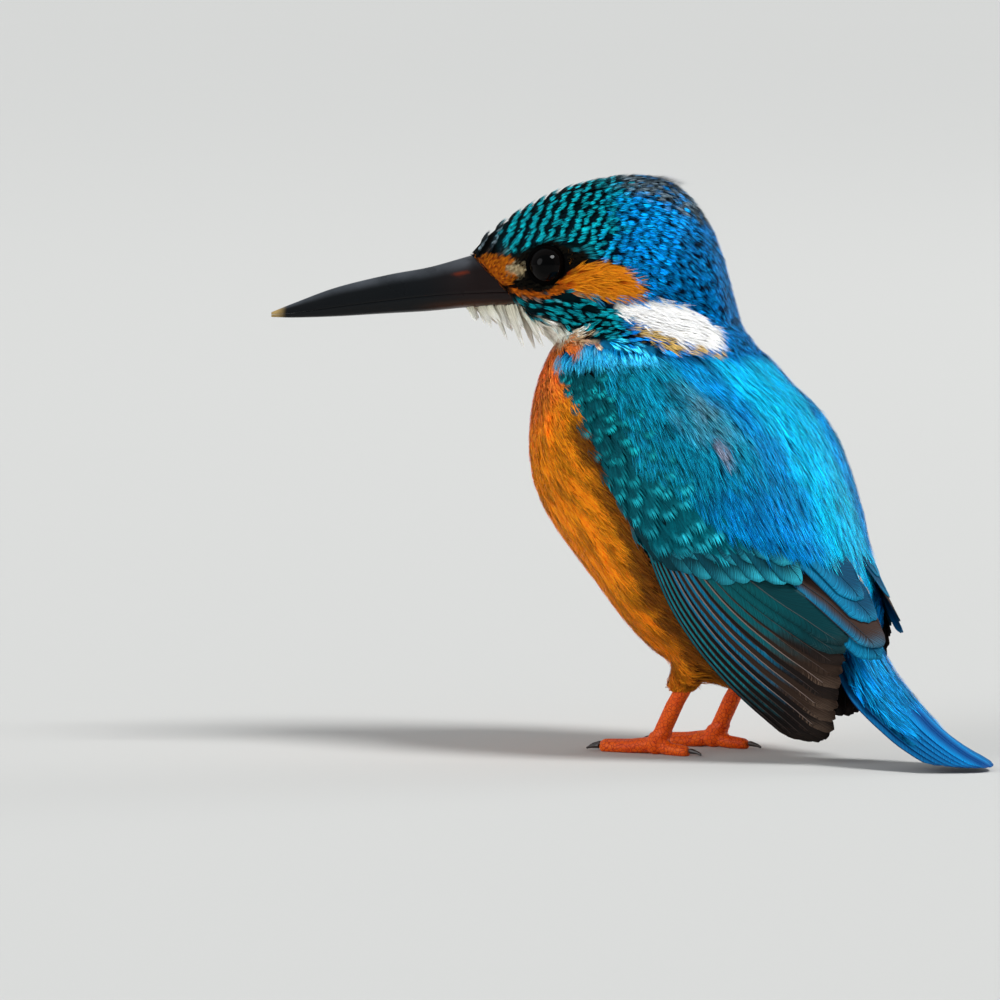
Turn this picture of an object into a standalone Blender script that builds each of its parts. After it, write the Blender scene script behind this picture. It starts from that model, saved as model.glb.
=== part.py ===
"""A common kingfisher (Alcedo atthis) as a life-size still model, standing on its two feet and its tail.

Lengths are in millimetres until they become a mesh, where MM turns them into metres.
Design frame: the floor is z = 0, the feet stand at x = 0, the bird faces -X and its left side is -Y.
An empty carries every piece, and its place puts the origin under the middle of the bird's box.
"""

import math

import bmesh
import bpy
import numpy as np
from mathutils import Matrix, Vector

MM = 0.001
GAP = 0.3  # clear space kept between neighbouring pieces

# ---- driving dimensions -------------------------------------------------------------------------
# Trunk stations, from inside the head to the vent: axis x, axis z, how many degrees the back
# leans up from level, half depth, half width
TRUNK = [
    (-8.0, 80.0, 2.0, 6.0, 7.0),
    (-7.3, 71.2, 4.0, 14.4, 14.2),
    (-6.8, 62.2, 12.0, 20.0, 20.3),
    (-3.9, 52.0, 27.0, 23.2, 23.6),
    (4.7, 42.2, 41.0, 23.5, 22.3),
    (13.6, 32.1, 49.0, 22.6, 19.1),
    (24.2, 24.7, 58.0, 16.8, 15.1),
    (33.6, 20.0, 63.0, 8.6, 9.6),
]
TRUNK_RINGS, TRUNK_SIDES = 24, 30

# Head: turned to the bird's left about an upright line through HEAD_PIVOT.
HEAD_TURN = math.radians(38)
HEAD_PIVOT = (-8.0, 0.0)
# Head stations, from the bill to the nape: distance ahead of the pivot, top z, bottom z, half width
HEAD = [
    (29.8, 82.4, 73.6, 4.4),
    (26.3, 86.0, 72.6, 6.4),
    (22.8, 88.6, 71.0, 8.0),
    (18.8, 91.0, 69.3, 9.6),
    (14.0, 93.4, 68.0, 10.8),
    (8.0, 95.3, 66.5, 12.0),
    (2.0, 95.9, 65.0, 12.8),
    (-4.0, 94.9, 64.0, 12.9),
    (-8.6, 91.0, 63.5, 12.0),
    (-12.4, 84.8, 63.6, 10.2),
    (-14.9, 75.8, 64.5, 6.8),
    (-16.6, 69.8, 66.2, 3.0),
]
HEAD_RINGS, HEAD_SIDES = 20, 26
CROWN_NARROWING = 0.10
HEAD_CUT_Z, NECK_CUT_Z = 67.2, 61.6  # the neck lies between these two levels

# Bill stations: distance ahead of the pivot, ridge z, gape-line z, underside z, half width
BILL = [
    (20.0, 84.8, 76.5, 74.0, 5.6),
    (29.5, 82.1, 76.1, 73.6, 3.9),
    (36.0, 80.3, 75.6, 73.0, 3.0),
    (43.0, 79.0, 74.8, 72.6, 2.4),
    (51.5, 76.9, 73.7, 72.1, 1.7),
    (58.5, 74.3, 72.7, 71.9, 0.9),
    (62.2, 72.8, 72.4, 72.0, 0.3),
]
BILL_RINGS, BILL_SIDES = 14, 8
BILL_EDGE = (21.6, 74.5), (30.2, 83.4)  # the feathering ends on a slant through these, ahead and z

EYE_AHEAD, EYE_SIDE, EYE_Z, EYE_RADIUS = 16.2, 8.2, 81.0, 3.0

# Wings lie on a carrier, a tube of oval sections round a sloping axis from shoulder to wing tip.
WING_START, WING_SLOPE = (-9.0, 66.0), (0.6, -0.8)
CARRIER_STEP = 10.0
# One row for each CARRIER_STEP along the axis: centre off the axis, half depth, half width
CARRIER = [
    (-6.5, 16.5, 19.0),
    (-6.2, 21.8, 22.8),
    (-5.8, 25.3, 24.1),
    (-5.2, 26.0, 23.7),
    (-5.3, 24.0, 21.8),
    (-4.5, 21.0, 18.6),
    (-2.5, 19.0, 14.0),
    (0.0, 17.0, 9.5),
    (2.0, 15.0, 5.5),
]
# A wing's two long edges, shoulder to tip: distance along the axis, degrees round from the back.
WING_FRONT = [
    (7.5, 77.0), (15.0, 82.0), (22.0, 84.5), (30.0, 87.2), (37.5, 92.0),
    (46.0, 101.5), (54.0, 119.5), (64.0, 136.0), (73.0, 129.0),
]
WING_REAR = [
    (20.0, 27.0), (29.0, 22.5), (38.0, 20.5), (46.5, 19.0), (54.5, 18.0),
    (58.5, 18.5), (62.5, 19.5), (66.0, 21.5), (69.0, 24.0),
]
COVERTS_END = 4.0  # the station of the edges where the coverts end
# Share of the way from the front to the rear edge where the primaries end, from COVERTS_END on
PRIMARY_SHARE = [(0.07,), (0.24,), (0.39,), (0.48,), (0.48,)]
PRIMARY_TIP_BULGE = 2.6
COVERTS_RAISE, SECONDARIES_RAISE, PRIMARIES_RAISE = 0.5, 0.2, 0.0
RIGHT_WING_TUCK = 5.0  # how much higher the right wing's tip is folded than the left one's
WING_THICK_SHOULDER, WING_THICK_TIP = 2.8, 0.9
WING_THIN_FROM, WING_THIN_TO = 38.0, 62.0  # along the axis
POCKET_REACH = 7.0  # how far a pocket's cutter stands out of the body
POCKET_ROOM = GAP + 0.2  # the pocket's flat facets cut inside the curve, so it is cut this much larger
WING_STEPS = 8
EDGE_TRIM = 0.2  # share of the thickness taken off each face along the edges
U_GAP, Q_GAP = 0.05, 0.012  # half the clear space between two parts of a wing, in u and in q
Q_ROOM = 0.02  # clear space along the wing's long edges, in q

# Tail: a curved fan that comes to rest on the floor.
TAIL_ROOT = (35.4, 20.9)
TAIL_LENGTH = 34.5
TAIL_SLOPE_ROOT, TAIL_SLOPE_TIP = math.radians(60), math.radians(16)
# Tail stations: share of the length, half width, half thickness, droop of its edges
TAIL = [
    (-0.10, 3.6, 2.6, 0.8),
    (0.05, 4.8, 3.0, 1.2),
    (0.30, 6.4, 2.2, 1.5),
    (0.60, 7.8, 1.2, 1.2),
    (0.85, 8.4, 0.7, 0.5),
    (0.95, 7.4, 0.6, 0.2),
    (1.00, 5.4, 0.5, 0.0),
]
TAIL_RINGS, TAIL_SIDES = 14, 16

# Legs: x and z of the joints of a leg that stands LEG_SIDE from the middle.
LEG_SIDE = 8.0
HIP, ANKLE, FOOT_JOINT = (9.5, 17.5), (5.4, 11.0), (0.6, 1.6)
HIP_RADIUS, THIGH_END_RADIUS = 4.8, 2.6
SHANK_RADIUS, FOOT_JOINT_RADIUS = 1.4, 1.75
SHANK_TOP_Z, SHANK_END_Z = 9.8, 3.8
LEG_SIDES, THIGH_SIDES = 10, 14
# Toes: heading in degrees outwards from straight ahead, length, radius at the root and at the tip
TOES = {
    "inner": (-26.0, 8.0, 1.20, 0.95),
    "middle": (-3.0, 12.0, 1.35, 1.00),
    "outer": (10.0, 10.5, 1.25, 0.95),
    "hind": (178.0, 7.0, 1.25, 0.95),
}
KNUCKLE_SHARE = 0.45  # how far along a toe it comes down to the floor
SOLE = 0.2  # how much of a round toe the floor flattens
CLAW_LENGTH, CLAW_ROOT_RADIUS, CLAW_TIP_RADIUS = 3.4, 0.62, 0.14
CLAW_SIDES = 8
CLAW_CURVE = ((0.0, 0.10), (0.45, 0.15), (0.8, -0.05), (1.0, -0.30))  # share of its length, height

FINISHES = {
    # name: base colour, roughness
    "crown": ((0.004, 0.105, 0.190), 0.45),
    "neck": ((0.800, 0.790, 0.740), 0.60),
    "mantle": ((0.010, 0.260, 0.420), 0.45),
    "coverts": ((0.003, 0.115, 0.150), 0.45),
    "secondaries": ((0.005, 0.120, 0.190), 0.40),
    "primaries": ((0.035, 0.022, 0.017), 0.50),
    "tail": ((0.005, 0.200, 0.560), 0.45),
    "thigh": ((0.480, 0.120, 0.006), 0.60),
    "leg": ((0.700, 0.055, 0.006), 0.45),
    "claw": ((0.030, 0.020, 0.018), 0.30),
    "bill": ((0.006, 0.006, 0.008), 0.25),
    "eye": ((0.002, 0.002, 0.002), 0.03),
}


# ---- mesh helpers -------------------------------------------------------------------------------
def smooth(table, t):
    """A table of stations read at t, counted in stations, along a Catmull-Rom curve."""
    rows = np.asarray(table, float)
    last = len(rows) - 1
    i = min(max(math.floor(t), 0), last - 1)
    f = t - i
    start, end = rows[i], rows[i + 1]
    before = rows[i - 1] if i > 0 else 2 * start - end
    after = rows[i + 2] if i + 2 <= last else 2 * end - start
    linear = end - before
    square = 2 * before - 5 * start + 4 * end - after
    cube = 3 * start - before - 3 * end + after
    return start + 0.5 * (linear * f + square * f**2 + cube * f**3)


def spread(last, count):
    """Evenly spaced station numbers from 0 to last, count steps apart."""
    return [last * i / count for i in range(count + 1)]


def circle(sides):
    return [2 * math.pi * k / sides for k in range(sides)]


def material(finish):
    colour, roughness = FINISHES[finish]
    made = bpy.data.materials.new(finish)
    made.use_nodes = True
    shader = made.node_tree.nodes["Principled BSDF"]
    shader.inputs["Base Color"].default_value = (*colour, 1.0)
    shader.inputs["Roughness"].default_value = roughness
    shader.inputs["Metallic"].default_value = 0.0
    return made


def link(name, mesh, finish=None):
    if finish:
        mesh.materials.append(material(finish))
    made = bpy.data.objects.new(name, mesh)
    bpy.context.scene.collection.objects.link(made)
    return made


def solid(name, points, faces, finish=None):
    """A mesh object from points in millimetres, its faces turned outwards."""
    mesh = bpy.data.meshes.new(name)
    mesh.from_pydata([Vector(p) * MM for p in points], [], faces)
    work = bmesh.new()
    work.from_mesh(mesh)
    bmesh.ops.recalc_face_normals(work, faces=work.faces)
    work.to_mesh(mesh)
    work.free()
    mesh.shade_smooth()
    return link(name, mesh, finish)


def cap(start, sides):
    """Faces across a ring that starts at vertex start, laid in strips so that a bent ring stays true."""
    faces = []
    low, high = start, start + sides - 1
    while high - low > 2:
        faces.append((low, low + 1, high - 1, high))
        low, high = low + 1, high - 1
    if high - low == 2:
        faces.append((low, low + 1, high))
    return faces


def loft(name, rings, finish=None):
    """A closed skin through rings of equal length."""
    sides = len(rings[0])
    faces = cap(0, sides) + cap((len(rings) - 1) * sides, sides)
    for r in range(len(rings) - 1):
        for k in range(sides):
            a, b = r * sides + k, r * sides + (k + 1) % sides
            faces.append((a, b, b + sides, a + sides))
    return solid(name, [p for ring in rings for p in ring], faces, finish)


def block(name, corner_at, ranges):
    """A box-like body: corner_at maps three coordinates, each within its range, to a point."""
    (a0, a1), (b0, b1), (c0, c1) = ranges
    corners = [corner_at(a, b, c) for c in (c0, c1) for a, b in ((a0, b0), (a1, b0), (a1, b1), (a0, b1))]
    faces = [(0, 1, 2, 3), (4, 5, 6, 7), (0, 1, 5, 4), (1, 2, 6, 5), (2, 3, 7, 6), (3, 0, 4, 7)]
    return guide(solid(name, corners, faces))


def layer(name, low, high):
    """Everything between two levels."""
    return block(name, lambda x, y, z: (x, y, z), ((-90, 90), (-60, 60), (low, high)))


def guide(shape):
    """Marks a shape that only cuts or lends its form."""
    shape.hide_render = True
    shape.display_type = "WIRE"
    return shape


def combine(shape, other, operation):
    step = shape.modifiers.new(other.name, "BOOLEAN")
    step.object = guide(other)
    step.operation = operation
    step.solver = "EXACT"
    return shape


def tube(name, points, radii, sides, finish=None):
    """A round bar through points, closed by a dome at each end."""
    points = [Vector(p) for p in points]
    rings = []
    for i, (point, radius) in enumerate(zip(points, radii)):
        ahead = (points[min(i + 1, len(points) - 1)] - points[max(i - 1, 0)]).normalized()
        side = ahead.cross(Vector((0, 0, 1)) if abs(ahead.z) < 0.9 else Vector((1, 0, 0))).normalized()
        up = side.cross(ahead)
        sections = [(0.0, 1.0)]
        if i in (0, len(points) - 1):
            way = -1.0 if i == 0 else 1.0
            sections += [(way * math.sin(a), math.cos(a)) for a in (math.radians(42), math.radians(78))]
            sections.sort()
        for along, share in sections:
            centre = point + ahead * (along * radius)
            round_it = [(side * math.cos(a) + up * math.sin(a)) * radius * share for a in circle(sides)]
            rings.append([centre + arm for arm in round_it])
    return loft(name, rings, finish)


def flatten_below(shape, level):
    """Presses whatever reaches below a level up to it."""
    for vertex in shape.data.vertices:
        vertex.co.z = max(vertex.co.z, level * MM)
    return shape


def ball(name, centre, radius, finish=None):
    mesh = bpy.data.meshes.new(name)
    work = bmesh.new()
    place = Matrix.Translation(Vector(centre) * MM)
    bmesh.ops.create_uvsphere(work, u_segments=14, v_segments=9, radius=radius * MM, matrix=place)
    work.to_mesh(mesh)
    work.free()
    mesh.shade_smooth()
    return link(name, mesh, finish)


# ---- body: head, neck and trunk -----------------------------------------------------------------
def trunk_ring(t):
    x, z, lean, depth, width = smooth(TRUNK, t)
    back_x, back_z = math.cos(math.radians(lean)), math.sin(math.radians(lean))
    ring = []
    for a in circle(TRUNK_SIDES):
        out = depth * math.cos(a)
        ring.append((x + back_x * out, -width * math.sin(a), z + back_z * out))
    return ring


def head_point(ahead, side, z):
    """A point of the turned head: ahead along the bill, side to the bird's left."""
    c, s = math.cos(HEAD_TURN), math.sin(HEAD_TURN)
    return (HEAD_PIVOT[0] - c * ahead + s * side, HEAD_PIVOT[1] - s * ahead - c * side, z)


def head_ring(t, scale=1.0):
    ahead, top, bottom, width = smooth(HEAD, t)
    ring = []
    for a in circle(HEAD_SIDES):
        up, out = math.cos(a), math.sin(a)
        side = width * out * (1.0 - CROWN_NARROWING * max(up, 0.0) * abs(out))
        ring.append(head_point(ahead, side * scale, (top + bottom) / 2 + (top - bottom) / 2 * up * scale))
    return ring


def build_body():
    """One whole shape, parted into head, neck and trunk by two level cuts."""
    trunk = loft("body_trunk", [trunk_ring(t) for t in spread(len(TRUNK) - 1, TRUNK_RINGS)])
    rings = [head_ring(t) for t in spread(len(HEAD) - 1, HEAD_RINGS)]
    rings.append(head_ring(len(HEAD) - 1, 0.4))
    combine(trunk, loft("body_head", rings), "UNION")
    graph = bpy.context.evaluated_depsgraph_get()
    whole = bpy.data.meshes.new_from_object(trunk.evaluated_get(graph))
    levels = {
        "head": (HEAD_CUT_Z + GAP / 2, 150.0, "crown"),
        "neck": (NECK_CUT_Z + GAP / 2, HEAD_CUT_Z - GAP / 2, "neck"),
        "trunk": (-50.0, NECK_CUT_Z - GAP / 2, "mantle"),
    }
    pieces = {}
    for name, (low, high, finish) in levels.items():
        piece = link(name, whole.copy(), finish)
        pieces[name] = combine(piece, layer(name + "_layer", low, high), "INTERSECT")
    bpy.data.objects.remove(trunk)
    return pieces


# ---- bill and eyes ------------------------------------------------------------------------------
def bill_ring(t, upper):
    """One section of a mandible: an arch on the gape line, or a keel under it."""
    ahead, ridge, gape, under, width = smooth(BILL, t)
    seam = GAP / 2
    ring = []
    for k in range(BILL_SIDES + 1):
        a = math.pi * k / BILL_SIDES
        if upper:
            z = gape + seam + (ridge - gape - seam) * math.sin(a)
        else:
            z = gape - seam - max(gape - seam - under, 0.05) * math.sin(a)
        ring.append(head_point(ahead, width * math.cos(a), z))
    return ring


def bill_block(name, start, end):
    """Everything between two distances ahead of the slanting edge of the feathering."""
    low, high = (Vector(point) for point in BILL_EDGE)
    slant = (high - low).normalized()
    forward = Vector((slant.y, -slant.x))

    def corner(up, side, out):
        ahead, z = low + slant * up + forward * out
        return head_point(ahead, side, z)

    return block(name, corner, ((-30, 40), (-30, 30), (start, end)))


def build_bill(head):
    for name, upper in (("bill_upper", True), ("bill_lower", False)):
        rings = [bill_ring(t, upper) for t in spread(len(BILL) - 1, BILL_RINGS)]
        combine(loft(name, rings, "bill"), bill_block(name + "_root", -20.0, GAP / 2), "DIFFERENCE")
    combine(head, bill_block("bill_seat", -GAP / 2, 30.0), "DIFFERENCE")


def build_eyes(head):
    for name, way in (("left", 1), ("right", -1)):
        centre = head_point(EYE_AHEAD, EYE_SIDE * way, EYE_Z)
        ball("eye_" + name, centre, EYE_RADIUS, "eye")
        combine(head, ball("socket_" + name, centre, EYE_RADIUS + GAP), "DIFFERENCE")


# ---- wings --------------------------------------------------------------------------------------
def carrier_point(way, along, degrees, raised):
    if way < 0:
        along -= RIGHT_WING_TUCK * ease(along, 0.0, CARRIER_STEP * (len(CARRIER) - 1))
    centre, depth, width = smooth(CARRIER, along / CARRIER_STEP)
    a = math.radians(degrees)
    out = centre + (depth + raised) * math.cos(a)
    slope_x, slope_z = WING_SLOPE
    x = WING_START[0] + slope_x * along - slope_z * out
    z = WING_START[1] + slope_z * along + slope_x * out
    return (x, -way * (width + raised) * math.sin(a), z)


def ease(value, start, end):
    """0 before start, 1 after end, and a smooth step between them."""
    f = min(max((value - start) / (end - start), 0.0), 1.0)
    return f * f * (3 - 2 * f)


def primary_share(u):
    return float(smooth(PRIMARY_SHARE, max(u - COVERTS_END, 0.0))[0])


def wing_place(u, q):
    """Distance and degrees on the carrier: u counts stations to the tip, q goes front to rear."""
    front, rear = smooth(WING_FRONT, u), smooth(WING_REAR, u)
    along, degrees = front + (rear - front) * q
    last = len(WING_FRONT) - 1
    bulge = math.sin(math.pi * min(max(q / primary_share(u), 0.0), 1.0)) * ease(u, last - 2, last)
    return along + PRIMARY_TIP_BULGE * bulge, degrees


def wing_thickness(along):
    change = ease(along, WING_THIN_FROM, WING_THIN_TO)
    return WING_THICK_SHOULDER + (WING_THICK_TIP - WING_THICK_SHOULDER) * change


def wing_rings(way, u_range, q_range, steps, surfaces):
    """Sections of a plate over a range of u, and a range of q at each u.

    surfaces gives the outer and inner height over the carrier, and how far the two ends reach out.
    """
    along_steps, across_steps = steps
    rings = []
    for i in range(along_steps + 1):
        u = u_range[0] + (u_range[1] - u_range[0]) * i / along_steps
        q_start, q_end = q_range(u)
        end_way = {0: -1, along_steps: 1}.get(i, 0)
        outer, inner = [], []
        for k in range(across_steps + 1):
            along, degrees = wing_place(u, q_start + (q_end - q_start) * k / across_steps)
            high, low, reach = surfaces(wing_thickness(along), bool(end_way) or k in (0, across_steps))
            outer.append(carrier_point(way, along + reach * end_way, degrees, high))
            inner.append(carrier_point(way, along + reach * end_way, degrees, low))
        rings.append(outer + inner[::-1])
    return rings


def build_wing(name, way, trunk):
    """Coverts, secondaries and primaries, and the pocket that the wing lies in."""
    last = len(WING_FRONT) - 1

    def plate(raised):
        def surfaces(thick, at_edge):
            trim = EDGE_TRIM * thick if at_edge else 0.0
            return raised - trim, trim - thick, 0.0
        return surfaces

    def pocket(thick, at_edge):
        return POCKET_REACH, -thick - POCKET_ROOM, POCKET_ROOM

    near, far = (0.0, COVERTS_END - U_GAP), (COVERTS_END + U_GAP, last)
    parts = {
        "coverts": (near, lambda u: (0.0, 1.0), 9, COVERTS_RAISE),
        "secondaries": (far, lambda u: (primary_share(u) + Q_GAP, 1.0), 6, SECONDARIES_RAISE),
        "primaries": (far, lambda u: (0.0, primary_share(u) - Q_GAP), 5, PRIMARIES_RAISE),
    }
    for part, (u_range, q_range, across, raised) in parts.items():
        rings = wing_rings(way, u_range, q_range, (WING_STEPS, across), plate(raised))
        loft(f"wing_{part}_{name}", rings, part)
    bed = wing_rings(way, (0.0, last), lambda u: (-Q_ROOM, 1.0 + Q_ROOM), (2 * WING_STEPS, 9), pocket)
    combine(trunk, loft("pocket_" + name, bed), "DIFFERENCE")


# ---- tail ---------------------------------------------------------------------------------------
def tail_point(share, across, lift):
    """share of the tail's length, distance across, and height over its middle surface."""
    bend = TAIL_SLOPE_TIP - TAIL_SLOPE_ROOT
    slope = TAIL_SLOPE_ROOT + bend * share
    x = TAIL_ROOT[0] + TAIL_LENGTH / bend * (math.sin(slope) - math.sin(TAIL_SLOPE_ROOT))
    z = TAIL_ROOT[1] + TAIL_LENGTH / bend * (math.cos(slope) - math.cos(TAIL_SLOPE_ROOT))
    return (x + lift * math.sin(slope), across, z + lift * math.cos(slope))


def tail_rings(grow):
    rings = []
    for t in spread(len(TAIL) - 1, TAIL_RINGS):
        share, width, thick, droop = smooth(TAIL, t)
        ring = []
        for a in circle(TAIL_SIDES):
            across, up = math.cos(a), math.sin(a)
            ring.append(tail_point(share, (width + grow) * across, (thick + grow) * up - droop * across**2))
        rings.append(ring)
    return rings


def build_tail(trunk):
    flatten_below(loft("tail", tail_rings(0.0), "tail"), 0.0)
    combine(trunk, loft("tail_seat", tail_rings(GAP)), "DIFFERENCE")


# ---- legs ---------------------------------------------------------------------------------------
def leg_point(way, place):
    """A joint of a leg, from its x and z."""
    return Vector((place[0], -way * LEG_SIDE, place[1]))


def build_thigh_and_tarsus(name, way, trunk):
    hip, ankle, joint = (leg_point(way, place) for place in (HIP, ANKLE, FOOT_JOINT))
    thigh = tube("thigh_" + name, (hip, ankle), (HIP_RADIUS, THIGH_END_RADIUS), THIGH_SIDES, "thigh")
    combine(thigh, layer("thigh_end_" + name, -10.0, SHANK_TOP_Z + GAP), "DIFFERENCE")
    seat_radii = (HIP_RADIUS + GAP, THIGH_END_RADIUS + GAP)
    combine(trunk, tube("thigh_seat_" + name, (hip, ankle), seat_radii, THIGH_SIDES), "DIFFERENCE")
    tarsus = tube("tarsus_" + name, (hip, joint), (SHANK_RADIUS, SHANK_RADIUS), LEG_SIDES, "leg")
    combine(tarsus, layer("tarsus_top_" + name, SHANK_TOP_Z, 60.0), "DIFFERENCE")
    combine(tarsus, layer("tarsus_end_" + name, -10.0, SHANK_END_Z), "DIFFERENCE")


def build_toe(name, way, heading, length, radii):
    """One toe, bent from the foot's joint down onto the floor, and the claw at its end."""
    a = math.radians(heading)
    out = Vector((-math.cos(a), -way * math.sin(a), 0.0))
    root, tip = radii
    middle = (root + tip) / 2
    start = leg_point(way, FOOT_JOINT)
    knuckle = start + out * length * KNUCKLE_SHARE
    knuckle.z = middle - SOLE
    end = start + out * (length - tip)
    end.z = tip - SOLE
    shape = flatten_below(tube("toe_" + name, (start, knuckle, end), (root, middle, tip), LEG_SIDES), 0.0)

    claw_points = [end + Vector((0, 0, lift)) + out * CLAW_LENGTH * share for share, lift in CLAW_CURVE]
    claw_radii = [CLAW_ROOT_RADIUS + (CLAW_TIP_RADIUS - CLAW_ROOT_RADIUS) * share for share, _ in CLAW_CURVE]
    claw = tube("claw_" + name, claw_points, claw_radii, CLAW_SIDES, "claw")
    seat_radii = (root + GAP, middle + GAP, tip + GAP)
    combine(claw, tube("claw_seat_" + name, (start, knuckle, end), seat_radii, LEG_SIDES), "DIFFERENCE")
    return shape


def build_foot(name, way):
    """The end of the tarsus and the four toes, as one body."""
    radii = (SHANK_RADIUS, FOOT_JOINT_RADIUS)
    foot = tube("foot_" + name, (leg_point(way, HIP), leg_point(way, FOOT_JOINT)), radii, LEG_SIDES, "leg")
    flatten_below(foot, 0.0)
    combine(foot, layer("foot_top_" + name, SHANK_END_Z - GAP, 60.0), "DIFFERENCE")
    for toe, (heading, length, root, tip) in TOES.items():
        combine(foot, build_toe(f"{toe}_{name}", way, heading, length, (root, tip)), "UNION")


# ---- assembly -----------------------------------------------------------------------------------
def centre_on_floor():
    """Hangs everything on one empty, placed so that the origin is under the middle of the box."""
    carrier = bpy.data.objects.new("kingfisher", None)
    bpy.context.scene.collection.objects.link(carrier)
    graph = bpy.context.evaluated_depsgraph_get()
    corners = []
    for shape in bpy.data.objects:
        if shape.type != "MESH":
            continue
        shape.parent = carrier
        if not shape.hide_render:
            corners += [vertex.co.copy() for vertex in shape.evaluated_get(graph).data.vertices]
    low, high = np.min(corners, axis=0), np.max(corners, axis=0)
    carrier.location = (-(low[0] + high[0]) / 2, -(low[1] + high[1]) / 2, -low[2])


def main():
    for old in list(bpy.data.objects):
        bpy.data.objects.remove(old)
    pieces = build_body()
    build_bill(pieces["head"])
    build_eyes(pieces["head"])
    for name, way in (("left", 1), ("right", -1)):
        build_wing(name, way, pieces["trunk"])
        build_thigh_and_tarsus(name, way, pieces["trunk"])
        build_foot(name, way)
    build_tail(pieces["trunk"])
    centre_on_floor()


main()
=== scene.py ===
# %% [markdown]
# # A common kingfisher, feather by feather
# A still, life-size model. The solid frame gives its shape; this lesson dresses that shape.
# One skin takes the place of the flesh, coats of mesh feathers are laid over it from the breast to
# the tail, and the bare parts (bill, eyes, legs, claws) get their own smooth surfaces.

# %% Load the frame
import math

import bmesh
import bpy
import numpy as np
from mathutils import Matrix
from mathutils import Vector
from mathutils.bvhtree import BVHTree


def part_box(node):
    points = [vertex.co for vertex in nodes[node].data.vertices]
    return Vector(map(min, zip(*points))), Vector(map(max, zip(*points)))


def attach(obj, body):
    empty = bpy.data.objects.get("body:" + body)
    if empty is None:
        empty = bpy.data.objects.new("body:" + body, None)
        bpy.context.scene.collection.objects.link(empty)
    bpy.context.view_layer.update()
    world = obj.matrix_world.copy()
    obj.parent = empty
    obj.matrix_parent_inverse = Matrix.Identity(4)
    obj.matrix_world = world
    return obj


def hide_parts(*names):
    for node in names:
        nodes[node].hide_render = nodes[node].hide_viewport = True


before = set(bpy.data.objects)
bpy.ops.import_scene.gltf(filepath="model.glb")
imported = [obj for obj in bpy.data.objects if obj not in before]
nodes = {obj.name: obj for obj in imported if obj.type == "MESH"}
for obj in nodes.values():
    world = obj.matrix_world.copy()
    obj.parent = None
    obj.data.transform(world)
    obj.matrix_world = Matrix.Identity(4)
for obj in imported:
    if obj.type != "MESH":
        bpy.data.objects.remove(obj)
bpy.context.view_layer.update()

# %% [markdown]
# ## The bird's own axes
# A feather is easiest to place in words such as "16 mm ahead of the nape, on the left". The two
# eyes give the head's left and its forward direction, so every later place is measured from them.
# Lengths stay in millimetres until they become a mesh.

# %% Axes from the eyes
MM = 0.001
EYE_AHEAD = 16.2  # the eyes' distance ahead of the upright line that the head turns about
EYE_Z = 81.0
EYE_RADIUS = 3.0  # of the visible ball
UP = np.array((0.0, 0.0, 1.0))
PIVOT_X = -8.0  # that upright line, seen from the middle of the feet


def node_centre(name):
    low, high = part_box(name)
    return np.array((low + high) / 2) / MM


eye_left, eye_right = node_centre("eye_left"), node_centre("eye_right")
head_side = (eye_left - eye_right) / np.linalg.norm(eye_left - eye_right)
head_ahead = np.cross(head_side, UP)
home = (eye_left + eye_right) / 2 - EYE_AHEAD * head_ahead - (PIVOT_X, 0, 0)
home[2] = 0.0
EYE_SIDE = np.linalg.norm(eye_left - eye_right) / 2
print("home, mm:", home.round(2), "half the distance between the eyes:", round(EYE_SIDE, 2))


def to_world(points):
    """Millimetres from the bird's feet to metres in the frame."""
    return (np.asarray(points, float) + home) * MM


def to_bird(points):
    """Metres in the frame to millimetres from the bird's feet."""
    return np.asarray(points, float) / MM - home


def head_place(points):
    """Ahead, left and up of the head, for each point."""
    from_pivot = points - (PIVOT_X, 0, 0)
    return from_pivot @ head_ahead, from_pivot @ head_side, points[:, 2]


def head_point(ahead, side, z):
    """The opposite of head_place: a point from its place on the head."""
    ahead, side, z = np.broadcast_arrays(ahead, side, z)
    level = ahead[..., None] * head_ahead + side[..., None] * head_side
    return level + np.stack([z * 0 + PIVOT_X, z * 0, z], -1)


# %% [markdown]
# ## Curves that the feathers follow
# A folded wing lies on the body like a blanket on a barrel. The barrel is a sloping axis with an
# oval section every 10 mm. "Along" counts down the axis from the shoulder, and "degrees" goes round
# it from the middle of the back. The tail is a plate that bends down to the floor.

# %% Body, wing and tail curves
WING_START, WING_SLOPE = (-9.0, 66.0), (0.6, -0.8)
# One row every 10 mm: centre off the axis, half depth, half width
CARRIER = [(-6.5, 16.5, 19.0), (-6.2, 21.8, 22.8), (-5.8, 25.3, 24.1), (-5.2, 26.0, 23.7),
           (-5.3, 24.0, 21.8), (-4.5, 21.0, 18.6), (-2.5, 19.0, 14.0), (0, 17.0, 9.5), (2, 15.0, 5.5)]
RIGHT_WING_TUCK = 5.0  # the right wing is folded this much tighter at its tip
TAIL_ROOT, TAIL_LENGTH = (35.4, 20.9), 34.5
TAIL_SLOPES = math.radians(60), math.radians(16)  # below the level, at its root and at its tip


def curve(table, at):
    """Rows of a table read at fractional row numbers, on a smooth curve through them."""
    rows = np.asarray(table, float).reshape(len(table), -1)
    last = len(rows) - 1
    at = np.atleast_1d(np.asarray(at, float))
    i = np.clip(np.floor(at).astype(int), 0, last - 1)
    f = (np.clip(at, 0, last) - i)[..., None]
    start, end = rows[i], rows[i + 1]
    before = np.where((i > 0)[..., None], rows[np.maximum(i - 1, 0)], 2 * start - end)
    after = np.where((i + 2 <= last)[..., None], rows[np.minimum(i + 2, last)], 2 * end - start)
    square = 2 * before - 5 * start + 4 * end - after
    cube = 3 * start - before - 3 * end + after
    return start + 0.5 * ((end - before) * f + square * f**2 + cube * f**3)


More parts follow.
